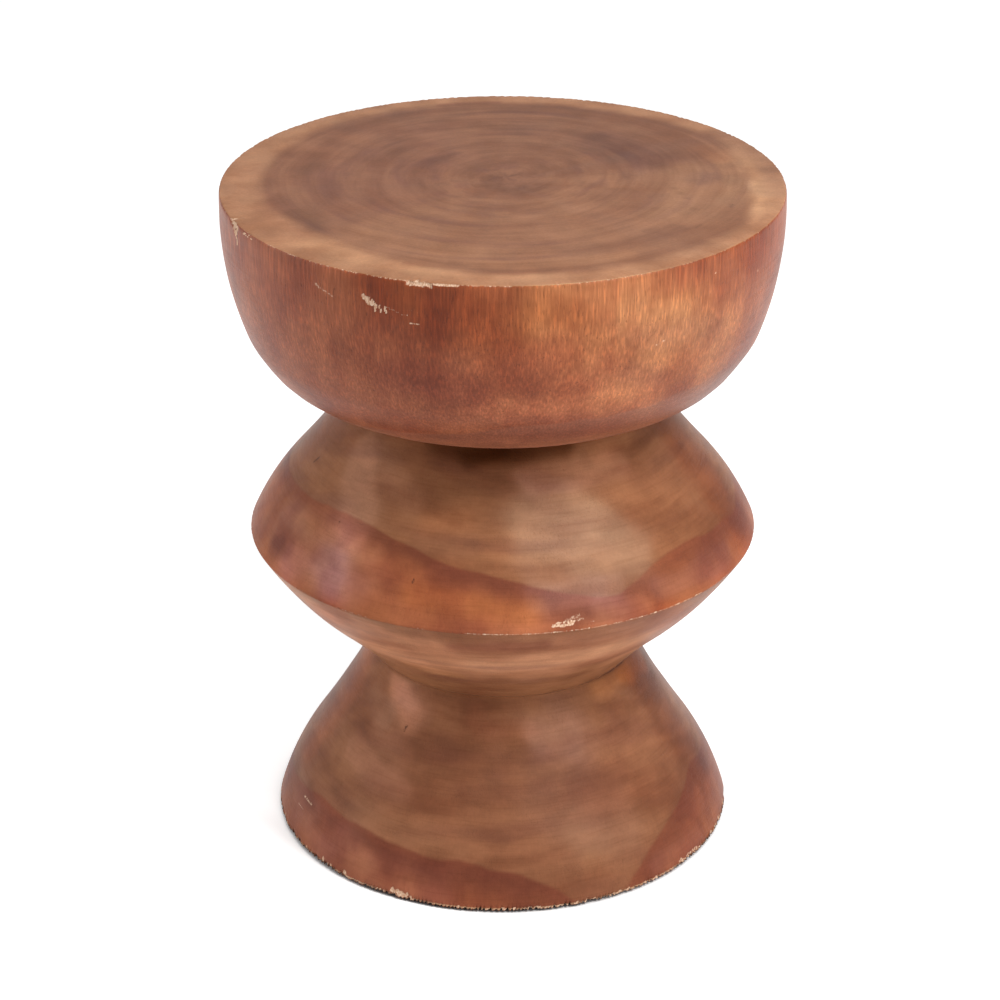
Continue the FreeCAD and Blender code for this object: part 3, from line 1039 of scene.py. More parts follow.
class TurnedSurface:
    """The points of a turned mesh in the terms that wear is placed in."""

    def __init__(self, mesh: bpy.types.Mesh, along: Points) -> None:
        """Reads the points and normals of a mesh.

        Args:
            mesh: The turned mesh.
            along: How far along the outline each point lies.
        """
        count = len(mesh.vertices)
        places = np.empty(count * 3, np.float32)
        mesh.vertices.foreach_get("co", places)
        normals = np.empty(count * 3, np.float32)
        mesh.vertex_normals.foreach_get("vector", normals)
        self.mesh = mesh
        self.along = along
        self.places = places.reshape(-1, 3).astype(float) / MM
        self.normals = normals.reshape(-1, 3).astype(float)
        self.angle = np.degrees(np.arctan2(self.places[:, 0], -self.places[:, 1]))
        self.across = np.hypot(self.places[:, 0], self.places[:, 1])
        self.height = self.places[:, 2].copy()
        self.values = {name: np.zeros(count) for name in ("bare", "dark", "bound")}
        self.tint = np.ones((count, 3))
        self.sunk = np.zeros(count)

    def outline_spot(self, height: float, across: float | None = None) -> tuple[float, float]:
        """Finds a place on the outline.

        Args:
            height: Its height.
            across: Its distance from the axis, which a level face needs.

        Returns:
            How far from the axis it is, and how far along the outline.
        """
        gap = np.abs(self.height - height)
        if across is not None:
            gap += np.abs(self.across - across)
        near = np.flatnonzero(gap < gap.min() + SPOT_SLACK)
        point = near[np.argmax(self.across[near])]
        return self.across[point], self.along[point]

    def shares_away(self, mark: Mark) -> Points:
        """Measures how far all points lie from a mark's line.

        Args:
            mark: The mark.

        Returns:
            The distances, in shares of the mark's reach.
        """
        middle = (mark.first[0] + mark.last[0]) / 2
        ends = []
        for angle, *spot in (mark.first, mark.last):
            across, along = self.outline_spot(*spot)
            ends.append(np.array((math.radians(angle - middle) * across, along)))
        turn = turn_from(self.angle, middle)
        here = np.stack((np.radians(turn) * self.across, self.along), axis=1)
        run = ends[1] - ends[0]
        share = np.clip((here - ends[0]) @ run / max(float(run @ run), 1e-9), 0, 1)
        return np.linalg.norm(here - ends[0] - share[:, None] * run, axis=1) / mark.reach

    def ripple(self, kind: Ripple, seed: int) -> Points:
        """A seamless random field over the points.

        Args:
            kind: The waves that are added up.
            seed: Which field.

        Returns:
            Values about 0, mostly between -1 and 1.
        """
        draw = np.random.default_rng(seed)
        total = np.zeros(len(self.angle))
        for _ in range(kind.count):
            turns = draw.integers(kind.fewest, kind.most + 1)
            up, out = draw.uniform(-1, 1, 2) / kind.along
            phase = draw.uniform(0, 2 * math.pi)
            waves = 2 * math.pi * (self.height * up + self.across * out)
            total += np.cos(np.radians(self.angle) * turns + waves + phase)
        return total / math.sqrt(kind.count)

    def wear(self, name: str, strength: Points) -> None:
        """Raises the wear of a name to a strength where it is less."""
        self.values[name] = np.maximum(self.values[name], strength)

    def colour(self, share: Points, tint: Colour) -> None:
        """Multiplies the tint by another, by a share of it."""
        self.tint *= 1 + share[:, None] * (np.array(tint) - 1)

    def on_top(self, slack: float) -> Points:
        """Whether points lie on the upper level face, or below it by less than a slack."""
        return self.height > self.height.max() - slack

    def add_chips(self, chips: Sequence[Chip], seed: int) -> None:
        """Breaks away the chips.

        Args:
            chips: The chips.
            seed: Which waves make their borders ragged.
        """
        ragged = self.ripple(CHIP_RIPPLE, seed)
        for chip in chips:
            inside = 1 - self.shares_away(chip)
            border = np.where(inside > -CHIP_FRINGE, ragged * CHIP_RAGGED, 0)
            strength = np.clip(inside * CHIP_SLOPE + border, 0, MOST_WEAR)
            self.wear("bare", strength)
            self.sunk = np.maximum(self.sunk, np.minimum(strength, 1) * chip.depth)

    def add_strokes(self, strokes: Sequence[Stroke]) -> None:
        """Draws the thin lines.

        Args:
            strokes: The lines.
        """
        for stroke in strokes:
            near = np.clip(STROKE_CORE - self.shares_away(stroke) / STROKE_FADE, 0, 1)
            self.wear(stroke.trace.value, stroke.strength * near)

    def add_stains_and_painted_light(self, stains_and_painted_light: Sequence[StainAndPaintedLight], seed: int) -> None:
        """Lays the soft patches of colour, on the upper level face or on the side: stain colour and tone,
        and painted shade, shadows and highlights.

        Args:
            stains_and_painted_light: The patches.
            seed: Which waves let their borders wander.
        """
        wander = self.ripple(PATCH_RIPPLE, seed)
        level = self.on_top(PATCH_LEVEL)
        for stain in stains_and_painted_light:
            away = self.shares_away(stain) + PATCH_WANDER * wander
            face = level if len(stain.first) == 3 else ~level
            self.colour(face * eased_share(stain.edge * (away - 1)), stain.tint)

    def add_sectors(self, sectors: Sequence[Sector], seed: int) -> None:
        """Changes the tone of parts of the upper level face.

        Args:
            sectors: The parts.
            seed: Which waves let their borders wander.
        """
        wander = self.ripple(SECTOR_RIPPLE, seed)
        level = self.on_top(SECTOR_LEVEL)
        for sector in sectors:
            middle, half = (sector.first + sector.last) / 2, (sector.last - sector.first) / 2
            inside = np.radians(half - np.abs(turn_from(self.angle, middle))) * self.across
            inside = np.minimum(inside, np.minimum(self.across - sector.inner, sector.outer - self.across))
            share = level * eased_share(-SECTOR_SLOPE * inside / sector.ease - wander)
            self.colour(share, sector.tint)

    def add_worn_edge(self, edge: WornEdge) -> None:
        """Chafes an edge all round.

        Args:
            edge: The edge.
        """
        away = np.hypot(self.across - edge.across, self.height - edge.height)
        coarse = self.ripple(COARSE_RIPPLE, edge.seed)
        middling = self.ripple(MIDDLING_RIPPLE, edge.seed + 2)
        fine = self.ripple(FINE_RIPPLE, edge.seed + 1)
        kinds = (("bare", edge.bare, edge.reach, fine), ("dark", edge.dirt, edge.dirt_reach, -fine))
        for name, table, reach, broken in kinds:
            share = np.interp(self.angle, *zip(*table), period=360)
            ragged = np.clip(weighted(1, edge.ragged, (coarse, middling, broken)), 0, MOST_WEAR)
            self.wear(name, edge.nearness(away, reach) * share * ragged)
        teeth = np.clip(weighted(edge.tooth_depth, edge.teeth, (coarse, middling, fine)), *edge.tooth_limits)
        teeth = edge.nearness(away, edge.dirt_reach) * edge.bite * teeth
        self.sunk = np.where(np.abs(teeth) > np.abs(self.sunk), teeth, self.sunk)

    def add_waver(self, reach: float, seed: int) -> None:
        """Lets the turned sides waver a little, as hand work does, but not their level faces.

        Args:
            reach: How far they waver.
            seed: Which waves.
        """
        edges = np.minimum(self.height - self.height.min(), self.height.max() - self.height)
        share = np.clip(edges / WAVER_EASE - WAVER_START, 0, 1)
        self.sunk += reach * self.ripple(WAVER_RIPPLE, seed) * share

    def set_heart(self, boundary: AngleTable, all_heart_below: float) -> None:
        """Keeps the heartwood's radius, which eases from angle to angle.

        Args:
            boundary: Angles and the radii there.
            all_heart_below: The height below which no sapwood shows.
        """
        turns = np.arange(-180.0, 180.0)
        radii = np.interp(turns, *zip(*boundary), period=360)
        ease = np.hanning(HEART_EASE)
        half = HEART_EASE // 2
        eased = np.convolve(np.r_[radii[-half:], radii, radii[:half]], ease / ease.sum(), "valid")
        bound = np.interp(self.angle, turns, eased, period=360)
        everywhere = self.across.max() + ALL_HEART_MARGIN
        self.values["bound"] = np.where(self.height < all_heart_below, everywhere, bound)

    def write(self) -> None:
        """Moves the points and keeps the values on them."""
        moved = (self.places - self.normals * self.sunk[:, None]) * MM
        self.mesh.vertices.foreach_set("co", moved.astype(np.float32).ravel())
        for name, values in self.values.items():
            kept = self.mesh.attributes.new(name, "FLOAT", "POINT")
            kept.data.foreach_set("value", values.astype(np.float32))
        tint = self.mesh.attributes.new("tint", "FLOAT_COLOR", "POINT")
        tint.data.foreach_set("color", np.c_[self.tint, np.ones(len(self.tint))].astype(np.float32).ravel())
        self.mesh.update()


@dataclass(frozen=True)
class Holes:
    """A ring of blind holes in a level face: their distance from the axis, radius, depth and first angle."""

    ring: float
    radius: float
    depth: float
    count: int = 4
    first_angle: float = 90.0


class Draw(Enum):
    """What each kind of wear adds to the seed of its block, so that it has random waves of its own."""

    STAINS_AND_PAINTED_LIGHT = 0
    EDGE = 20
    SECTORS = 30
    CHIPS = 50
    WAVER = 80


class Piece:
    """A mesh that stands for the CAD node of a name."""

    node: str
    slot: str

    def put(self, mesh: bpy.types.Mesh) -> bpy.types.Object:
        """Puts the mesh into the scene.

        Args:
            mesh: The finished mesh.

        Returns:
            The piece, which stands for the CAD node and rides on the body.
        """
        mesh.shade_smooth()
        mesh.set_sharp_from_angle(angle=math.radians(SHARP_ANGLE))
        piece = bpy.data.objects.new(mesh.name, mesh)
        bpy.context.scene.collection.objects.link(piece)
        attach(piece, BODY)
        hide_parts(self.node)
        return piece


@dataclass
class TurnedBlock(Piece):
    """A block of the log, turned to an outline and worn. The CAD node of the same name gives its size.

    Rings have as many segments as the block says, crowded at the front. A ring near the axis halves them, as
    long as they are closer than segment_least and more than segments_least.
    """

    node: str = ""
    slot: str = ""
    finishes: Sequence[LogWood] = ()
    segments: int = 840
    crowding: float = 0.42
    segment_least: float = 0.075
    segments_least: int = 30
    level_slack: float = 0.4
    hole_sides: int = 32
    seed: int = 1
    boundary: AngleTable = ((0, 150),)
    waver: float = 0.25
    chips: Sequence[Chip] = ()
    strokes: Sequence[Stroke] = ()
    stains_and_painted_light: Sequence[StainAndPaintedLight] = ()
    sectors: Sequence[Sector] = ()
    edge_bare: AngleTable = ()
    edge_dirt: AngleTable = ()
    edge_reach: float = 1.0
    edge_dirt_reach: float = 1.2
    edge_bite: float = 0.3
    upper_dowels: Holes = Holes(59.0, 10.1, 50.0)
    lower_dowels: Holes = Holes(54.5, 10.1, 50.0)
    low: Vector = field(init=False)
    high: Vector = field(init=False)

    def __post_init__(self) -> None:
        """Takes the block's box from the frame."""
        low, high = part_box(self.node)
        self.low, self.high = low / MM, high / MM

    def knots(self) -> list[Knot]:
        """The corners of the outline, from the lower face up."""
        raise NotImplementedError

    def holes(self) -> list[tuple[float, Holes, int]]:
        """The height of each level face with holes, its holes, and the way that they go."""
        raise NotImplementedError

    def edge_place(self) -> tuple[float, float]:
        """Where the chafed edge lies: how far from the axis, and how high."""
        raise NotImplementedError

    def all_heart_below(self) -> float:
        """The height below which no sapwood shows."""
        return 0.0

    def level_face(self) -> float | None:
        """The height of the level face that has a finish of its own, if there is one."""
        return None

    def seed_for(self, draw: Draw) -> int:
        """The seed of a kind of wear."""
        return self.seed + draw.value

    def build(self) -> bpy.types.Object:
        """Makes the block, dresses it and wears it.

        Returns:
            The piece.
        """
        mesh = bpy.data.meshes.new(f"turned_{self.node}")
        along = self.turn(mesh)
        self.dress(mesh)
        surface = TurnedSurface(mesh, along)
        surface.set_heart(self.boundary, self.all_heart_below())
        surface.add_stains_and_painted_light(self.stains_and_painted_light, self.seed_for(Draw.STAINS_AND_PAINTED_LIGHT))
        surface.add_sectors(self.sectors, self.seed_for(Draw.SECTORS))
        surface.add_waver(self.waver, self.seed_for(Draw.WAVER))
        surface.add_worn_edge(self.worn_edge())
        surface.add_chips(self.chips, self.seed_for(Draw.CHIPS))
        surface.add_strokes(self.strokes)
        surface.write()
        return self.put(mesh)

    def worn_edge(self) -> WornEdge:
        """Describes the edge that is chafed all round.

        Returns:
            The edge.
        """
        across, height = self.edge_place()
        return WornEdge(
            across=across,
            height=height,
            reach=self.edge_reach,
            dirt_reach=self.edge_dirt_reach,
            bite=self.edge_bite,
            seed=self.seed_for(Draw.EDGE),
            bare=self.edge_bare,
            dirt=self.edge_dirt,
        )

    def dress(self, mesh: bpy.types.Mesh) -> None:
        """Gives the sides their finish, and the level face its own.

        Args:
            mesh: The block's mesh.
        """
        for finish in self.finishes:
            mesh.materials.append(finish.material())
        if self.level_face() is not None:
            middles = np.empty(len(mesh.polygons) * 3, np.float32)
            mesh.polygons.foreach_get("center", middles)
            level = np.abs(middles[2::3] / MM - self.level_face()) < self.level_slack
            mesh.polygons.foreach_set("material_index", level.astype(np.int32))

    def turn(self, mesh: bpy.types.Mesh) -> Points:
        """Turns the outline into a closed mesh with its holes.

        Args:
            mesh: The mesh to fill.

        Returns:
            How far along the outline each point lies.
        """
        rows = outline_rows(self.knots())
        steps = np.hypot(*np.diff(rows, axis=0).T)
        body = bmesh.new()
        rings: list[list[bmesh.types.BMVert]] = []
        for across, up in rows:
            ring = self.ring(body, across, up)
            if rings:
                self.bridge(body, rings[-1], ring)
            rings.append(ring)
        along = np.repeat(np.r_[0.0, np.cumsum(steps)], [len(ring) for ring in rings])
        for height, holes, way in self.holes():
            ends = [ring for ring in (rings[0], rings[-1]) if abs(ring[0].co.z / MM - height) < TOUCHING]
            self.close_with_holes(body, ends[0], holes, way)
        bmesh.ops.recalc_face_normals(body, faces=body.faces)
        body.to_mesh(mesh)
        body.free()
        return np.r_[along, np.zeros(len(mesh.vertices) - len(along))]

    def ring(self, body: bmesh.types.BMesh, across: float, up: float) -> list[bmesh.types.BMVert]:
        """Adds one ring of points, closest at the front: fewer near the axis, and a single one on it.

        Args:
            body: The mesh.
            across: The ring's radius.
            up: Its height.

        Returns:
            The points.
        """
        if across < TOUCHING:
            return [body.verts.new((0.0, 0.0, up * MM))]
        count = self.segments
        while across / count < self.segment_least and count % 2 == 0 and count > self.segments_least:
            count //= 2
        points = []
        for index in range(count):
            even = 2 * math.pi * index / count
            turn = even - self.crowding * math.sin(even)
            place = (across * MM * math.sin(turn), -across * MM * math.cos(turn), up * MM)
            points.append(body.verts.new(place))
        return points

    def bridge(self, body: bmesh.types.BMesh, outer: list, inner: list) -> None:
        """Joins two rings by faces.

        Args:
            body: The mesh.
            outer: The points of the first ring.
            inner: Those of the second: as many, half as many, or one.
        """
        count = len(outer)
        for index in range(count):
            here, following = outer[index], outer[(index + 1) % count]
            if len(inner) == 1:
                body.faces.new((here, following, inner[0]))
            elif len(inner) == count:
                body.faces.new((here, following, inner[(index + 1) % count], inner[index]))
            elif index % 2 == 0:
                body.faces.new((here, following, inner[index // 2]))
            else:
                near, far = inner[index // 2], inner[(index // 2 + 1) % len(inner)]
                body.faces.new((here, far, near))
                body.faces.new((here, following, far))

    def close_with_holes(self, body: bmesh.types.BMesh, rim: list, holes: Holes, way: int) -> None:
        """Closes a level face inside a ring, and sinks its holes.

        Args:
            body: The mesh.
            rim: The points of the ring.
            holes: The holes.
            way: 1 to sink them upwards, and -1 downwards.
        """
        edges = [body.edges.get((rim[index - 1], rim[index])) for index in range(len(rim))]
        up = rim[0].co.z
        sides = self.hole_sides
        for number in range(holes.count):
            middle = math.radians(holes.first_angle + 360 / holes.count * number)
            place = Vector((holes.ring * math.sin(middle), -holes.ring * math.cos(middle), 0.0)) * MM
            turns = [2 * math.pi * index / sides for index in range(sides)]
            offsets = [Vector((math.cos(turn), math.sin(turn), 0.0)) * holes.radius * MM for turn in turns]
            mouth = [body.verts.new(place + offset + Vector((0.0, 0.0, up))) for offset in offsets]
            bottom = up + way * holes.depth * MM
            floor = [body.verts.new(place + offset + Vector((0.0, 0.0, bottom))) for offset in offsets]
            for index in range(sides):
                body.faces.new((mouth[index - 1], mouth[index], floor[index], floor[index - 1]))
            body.faces.new(floor)
            edges += [body.edges.get((mouth[index - 1], mouth[index])) for index in range(sides)]
        bmesh.ops.triangle_fill(body, use_beauty=True, edges=edges)


@dataclass
class SeatBlock(TurnedBlock):
    """The drum: a bulged side that turns in below to the upper neck, and the seat's level top."""

    node: str = "seat_block"
    slot: str = "seat_wood"
    finishes: Sequence[LogWood] = (SEAT_WOOD, TOP_WOOD)
    seed: int = 11
    boundary: AngleTable = (
        (-180, 163.5), (-140, 166), (-122, 158), (-97, 155), (-74, 151), (-58, 147), (-40, 148), (-22, 153),
        (0, 162), (25, 164), (50, 168), (65, 167), (80, 160), (100, 158), (126, 168), (150, 164),
    )
    chips: Sequence[Chip] = (
        Chip((-68.4, 449.6), (-65.2, 447.6), 2.6, 1.2),
        Chip((-66.6, 446.4), (-65.8, 442), 1.3, 0.4),
        *strewn((-67, 446), (-64.4, 443), 1.6, 16, (0.4, -4.0), 38),
        *strewn((-65.4, 441), (-65, 438), 0.5, 5, (0.1, -2.0), 39),
        *strewn((-62.6, 448), (-58, 448), 0.7, 9, (1.6, -0.4), 40),
        Chip((-17.8, 449.2), (-13.8, 448.6), 2.5, 1.2),
        Chip((-13, 449.6), (-8.4, 449.8), 1.2, 0.7),
        Chip((-27, 435.8), (-25.8, 432.6), 2.3, 0.3),
        *strewn((-25.4, 434), (-23.8, 429.8), 0.9, 10, (0.2, -3.6), 34),
        Chip((-22.8, 431.4), (-22.5, 428.2), 0.6, 0.2),
    )
    strokes: Sequence[Stroke] = (
        Stroke((-38.2, 437), (-37.4, 434.6), 0.8, Trace.PALE, 0.55),
        Stroke((-37, 434.4), (-34.2, 430.6), 0.6, Trace.PALE, 0.5),
        Stroke((-22.4, 430.6), (-20, 428.6), 0.45, Trace.PALE, 0.55),
        Stroke((-19.4, 427.8), (-18.2, 427.4), 0.45, Trace.PALE, 0.45),
        Stroke((-17.7, 423.2), (-15.9, 422.6), 0.5, Trace.PALE, 0.6),
        Stroke((-17.5, 430.6), (-16, 430.4), 0.7, Trace.PALE, 0.3),
        Stroke((31, 401), (33, 402), 0.5, Trace.PALE, 0.6),
        Stroke((34, 402), (43, 409), 0.5, Trace.DARK, 0.3),
        Stroke((45, 438), (45.2, 438), 0.6, Trace.PALE, 0.7),
        Stroke((60, 425), (60.3, 424.5), 0.6, Trace.PALE, 0.7),
        Stroke((72.2, 450, 149), (74.2, 450, 151), 1.6, Trace.DARK, 0.5),
        Stroke((55, 450, 143), (57.5, 450, 144), 1.8, Trace.DARK, 0.45),
        Stroke((172, 450, 9), (178, 450, 8), 0.8, Trace.PALE, 0.4),
    )
    stains_and_painted_light: Sequence[StainAndPaintedLight] = (
        StainAndPaintedLight((12, 446), (46, 392), 32.0, (1.42, 1.86, 1.74)),
        StainAndPaintedLight((3, 446), (14, 428), 10.0, (0.84, 0.76, 0.7)),
        # Painted highlight: pale reflections low on the seat's front right.
        StainAndPaintedLight((14, 378), (30, 362), 18.0, (1.3, 1.5, 1.52)),
        # Painted highlight, low on the seat's front.
        StainAndPaintedLight((-2, 366), (10, 362), 10.0, (1.16, 1.22, 1.26)),
        StainAndPaintedLight((-22, 384), (-8, 380), 14.0, (0.82, 0.74, 0.8)),
        # Painted highlight, low on the seat's front.
        StainAndPaintedLight((0, 369), (24, 366), 8.0, (1.2, 1.3, 1.3)),
        StainAndPaintedLight((26, 386), (33, 377), 8.0, (0.82, 0.82, 0.9)),
        StainAndPaintedLight((27, 407), (46, 401), 9.0, (0.86, 0.88, 0.93)),
        StainAndPaintedLight((-16, 337), (-2, 336), 5.0, (0.86, 0.86, 0.9)),
        StainAndPaintedLight((-28, 402), (-18, 398), 8.0, (1.1, 1.12, 1.12)),
        StainAndPaintedLight((-12, 440), (-9, 396), 8.0, (0.88, 0.88, 0.92)),
        StainAndPaintedLight((6, 340), (24, 342), 7.0, (0.86, 0.8, 0.84)),
        StainAndPaintedLight((24, 428), (36, 424), 9.0, (1.08, 1.14, 1.1)),
        # Painted light: the underside of the drum is lightened all round, where it faces down into shade.
        StainAndPaintedLight((-180, 328), (180, 328), 14.0, (1.1, 1.2, 1.28), 3.0),
        StainAndPaintedLight((-24, 446), (-2, 420), 20.0, (0.84, 0.72, 0.6)),
        StainAndPaintedLight((-62, 440), (-44, 425), 22.0, (1.12, 1.12, 1.12)),
        StainAndPaintedLight((58, 446), (72, 432), 20.0, (0.87, 0.7, 0.52)),
        StainAndPaintedLight((26, 424), (46, 398), 14.0, (1.04, 1.11, 1.2)),
        StainAndPaintedLight((-20, 440), (12, 412), 20.0, (1.0, 0.97, 0.9)),
        StainAndPaintedLight((-22, 450, 153), (25, 450, 163), 2.2, (0.86, 0.8, 0.8)),
        StainAndPaintedLight((-12, 450, 146), (20, 450, 150), 2.0, (0.92, 0.9, 0.88)),
        StainAndPaintedLight((84, 450, 172), (96, 450, 172), 12.0, (0.98, 1.05, 1.14)),
        StainAndPaintedLight((124, 450, 176), (100, 450, 174), 11.0, (0.8, 0.8, 0.84)),
        StainAndPaintedLight((108, 450, 148), (117, 450, 147), 8.0, (1.28, 1.28, 1.22)),
        StainAndPaintedLight((-6, 450, 142), (30, 450, 148), 8.0, (1.13, 1.14, 1.1)),
        StainAndPaintedLight((170, 450, 108), (152, 450, 112), 14.0, (0.92, 0.92, 0.94)),
        StainAndPaintedLight((112, 450, 98), (140, 450, 104), 20.0, (0.8, 0.78, 0.86)),
        StainAndPaintedLight((130, 450, 84), (98, 450, 80), 2.4, (0.84, 0.82, 0.84), 3.0),
        StainAndPaintedLight((146, 450, 77), (85, 450, 68), 3.4, (1.14, 1.14, 1.12), 3.0),
        StainAndPaintedLight((-133, 450, 52), (-48, 450, 27), 2.6, (1.16, 1.16, 1.14), 3.0),
        StainAndPaintedLight((-150, 450, 62), (-122, 450, 60), 5.0, (0.82, 0.8, 0.84)),
        StainAndPaintedLight((100, 450, 40), (40, 450, 44), 2.4, (1.12, 1.1, 1.08), 3.0),
        StainAndPaintedLight((-115, 450, 130), (-62, 450, 128), 5.0, (0.9, 0.9, 0.9)),
        StainAndPaintedLight((-112, 450, 114), (-68, 450, 110), 3.0, (1.07, 1.06, 1.06)),
        StainAndPaintedLight((-106, 450, 88), (-66, 450, 84), 3.4, (1.08, 1.07, 1.06)),
        StainAndPaintedLight((40, 450, 100), (84, 450, 98), 3.4, (0.92, 0.9, 0.9)),
        StainAndPaintedLight((44, 450, 124), (68, 450, 127), 1.4, (0.84, 0.82, 0.82)),
        StainAndPaintedLight((20, 450, 128), (50, 450, 136), 10.0, (0.9, 0.9, 0.92)),
        StainAndPaintedLight((84.7, 450, 111), (75.3, 450, 121), 1.2, (0.84, 0.82, 0.82)),
        StainAndPaintedLight((-65, 450, 138), (-56, 450, 141), 10.0, (0.8, 0.8, 0.78)),
        StainAndPaintedLight((64, 450, 168), (100, 450, 155), 2.4, (1.2, 1.24, 1.26)),
        StainAndPaintedLight((-179, 450, 163), (-165, 450, 162), 2.6, (0.78, 0.7, 0.74)),
        StainAndPaintedLight((-100, 450, 151), (-67, 450, 150), 4.0, (0.94, 0.9, 0.9)),
        StainAndPaintedLight((-45, 450, 174), (-12, 450, 174), 7.0, (0.89, 0.88, 0.87)),
        StainAndPaintedLight((-130, 450, 136), (-84, 450, 136), 14.0, (1.14, 1.16, 1.14)),
        StainAndPaintedLight((-40, 450, 126), (-10, 450, 126), 12.0, (1.1, 1.12, 1.1)),
        StainAndPaintedLight((76, 450, 150), (92, 450, 150), 8.0, (1.1, 1.16, 1.18)),
        StainAndPaintedLight((0, 450, 4), (180, 450, 10), 16.0, (0.86, 0.84, 0.86)),
        StainAndPaintedLight((128, 450, 92), (142, 450, 90), 14.0, (0.88, 0.88, 0.88)),
        StainAndPaintedLight((90, 450, 124), (96, 450, 128), 10.0, (0.88, 0.88, 0.94)),
    )
    sectors: Sequence[Sector] = (
        Sector(-50, 106, 34, 170, 9.0, (1.16, 1.2, 1.18)),
        Sector(58, 112, 96, 164, 16.0, (1.1, 1.16, 1.17)),
        Sector(-165, -52, 40, 150, 24.0, (0.98, 0.95, 0.98)),
    )
    edge_bare: AngleTable = (
        (-180, 0.2), (-72, 0.2), (-60, 0.35), (-40, 0.42), (-8, 0.48), (6, 0.35), (40, 0.3), (75, 0.4),
        (100, 0.2),
    )
    edge_dirt: AngleTable = (
        (-180, 0.1), (-64, 0.1), (-58, 0.4), (-50, 0.1), (0, 0.2), (20, 0.3), (60, 0.3), (120, 0.1),
    )
    edge_reach: float = 1.3
    edge_dirt_reach: float = 1.8
    edge_bite: float = 0.45
    neck_radius: float = 93.5
    bulge: float = 0.46
    side_bend: float = 218.0
    side_step: float = 2.1
    shoulder_inset: float = 14.5
    shoulder_rise: float = 39.5
    shoulder_round: float = 51.0
    corner_inset: float = 35.7
    corner_rise: float = 7.3
    corner_round: float = 58.0
    rim_round: float = 1.4
    rim_closing: float = 0.33
    level_step: float = 5.0

    def knots(self) -> list[Knot]:
        """Lists the corners of the outline.

        Returns:
            The corners, from the neck out, up the side and in over the top.
        """
        radius, foot, top = self.high.x - self.bulge, self.low.z, self.high.z
        return [
            Knot(self.neck_radius, foot, step=self.level_step),
            Knot(radius - self.corner_inset, foot + self.corner_rise, rounding=self.corner_round),
            Knot(
                radius - self.shoulder_inset,
                foot + self.shoulder_rise,
                bend=self.side_bend,
                step=self.side_step,
                rounding=self.shoulder_round,
                closing=self.rim_closing,
            ),
            Knot(radius, top, step=self.level_step, rounding=self.rim_round),
            Knot(0.0, top),
        ]

    def holes(self) -> list[tuple[float, Holes, int]]:
        """The dowel holes go up from the neck."""
        return [(self.low.z, self.upper_dowels, 1)]

    def edge_place(self) -> tuple[float, float]:
        """The rim of the seat."""
        return self.high.x - self.bulge, self.high.z

    def level_face(self) -> float:
        """The top of the seat."""
        return self.high.z


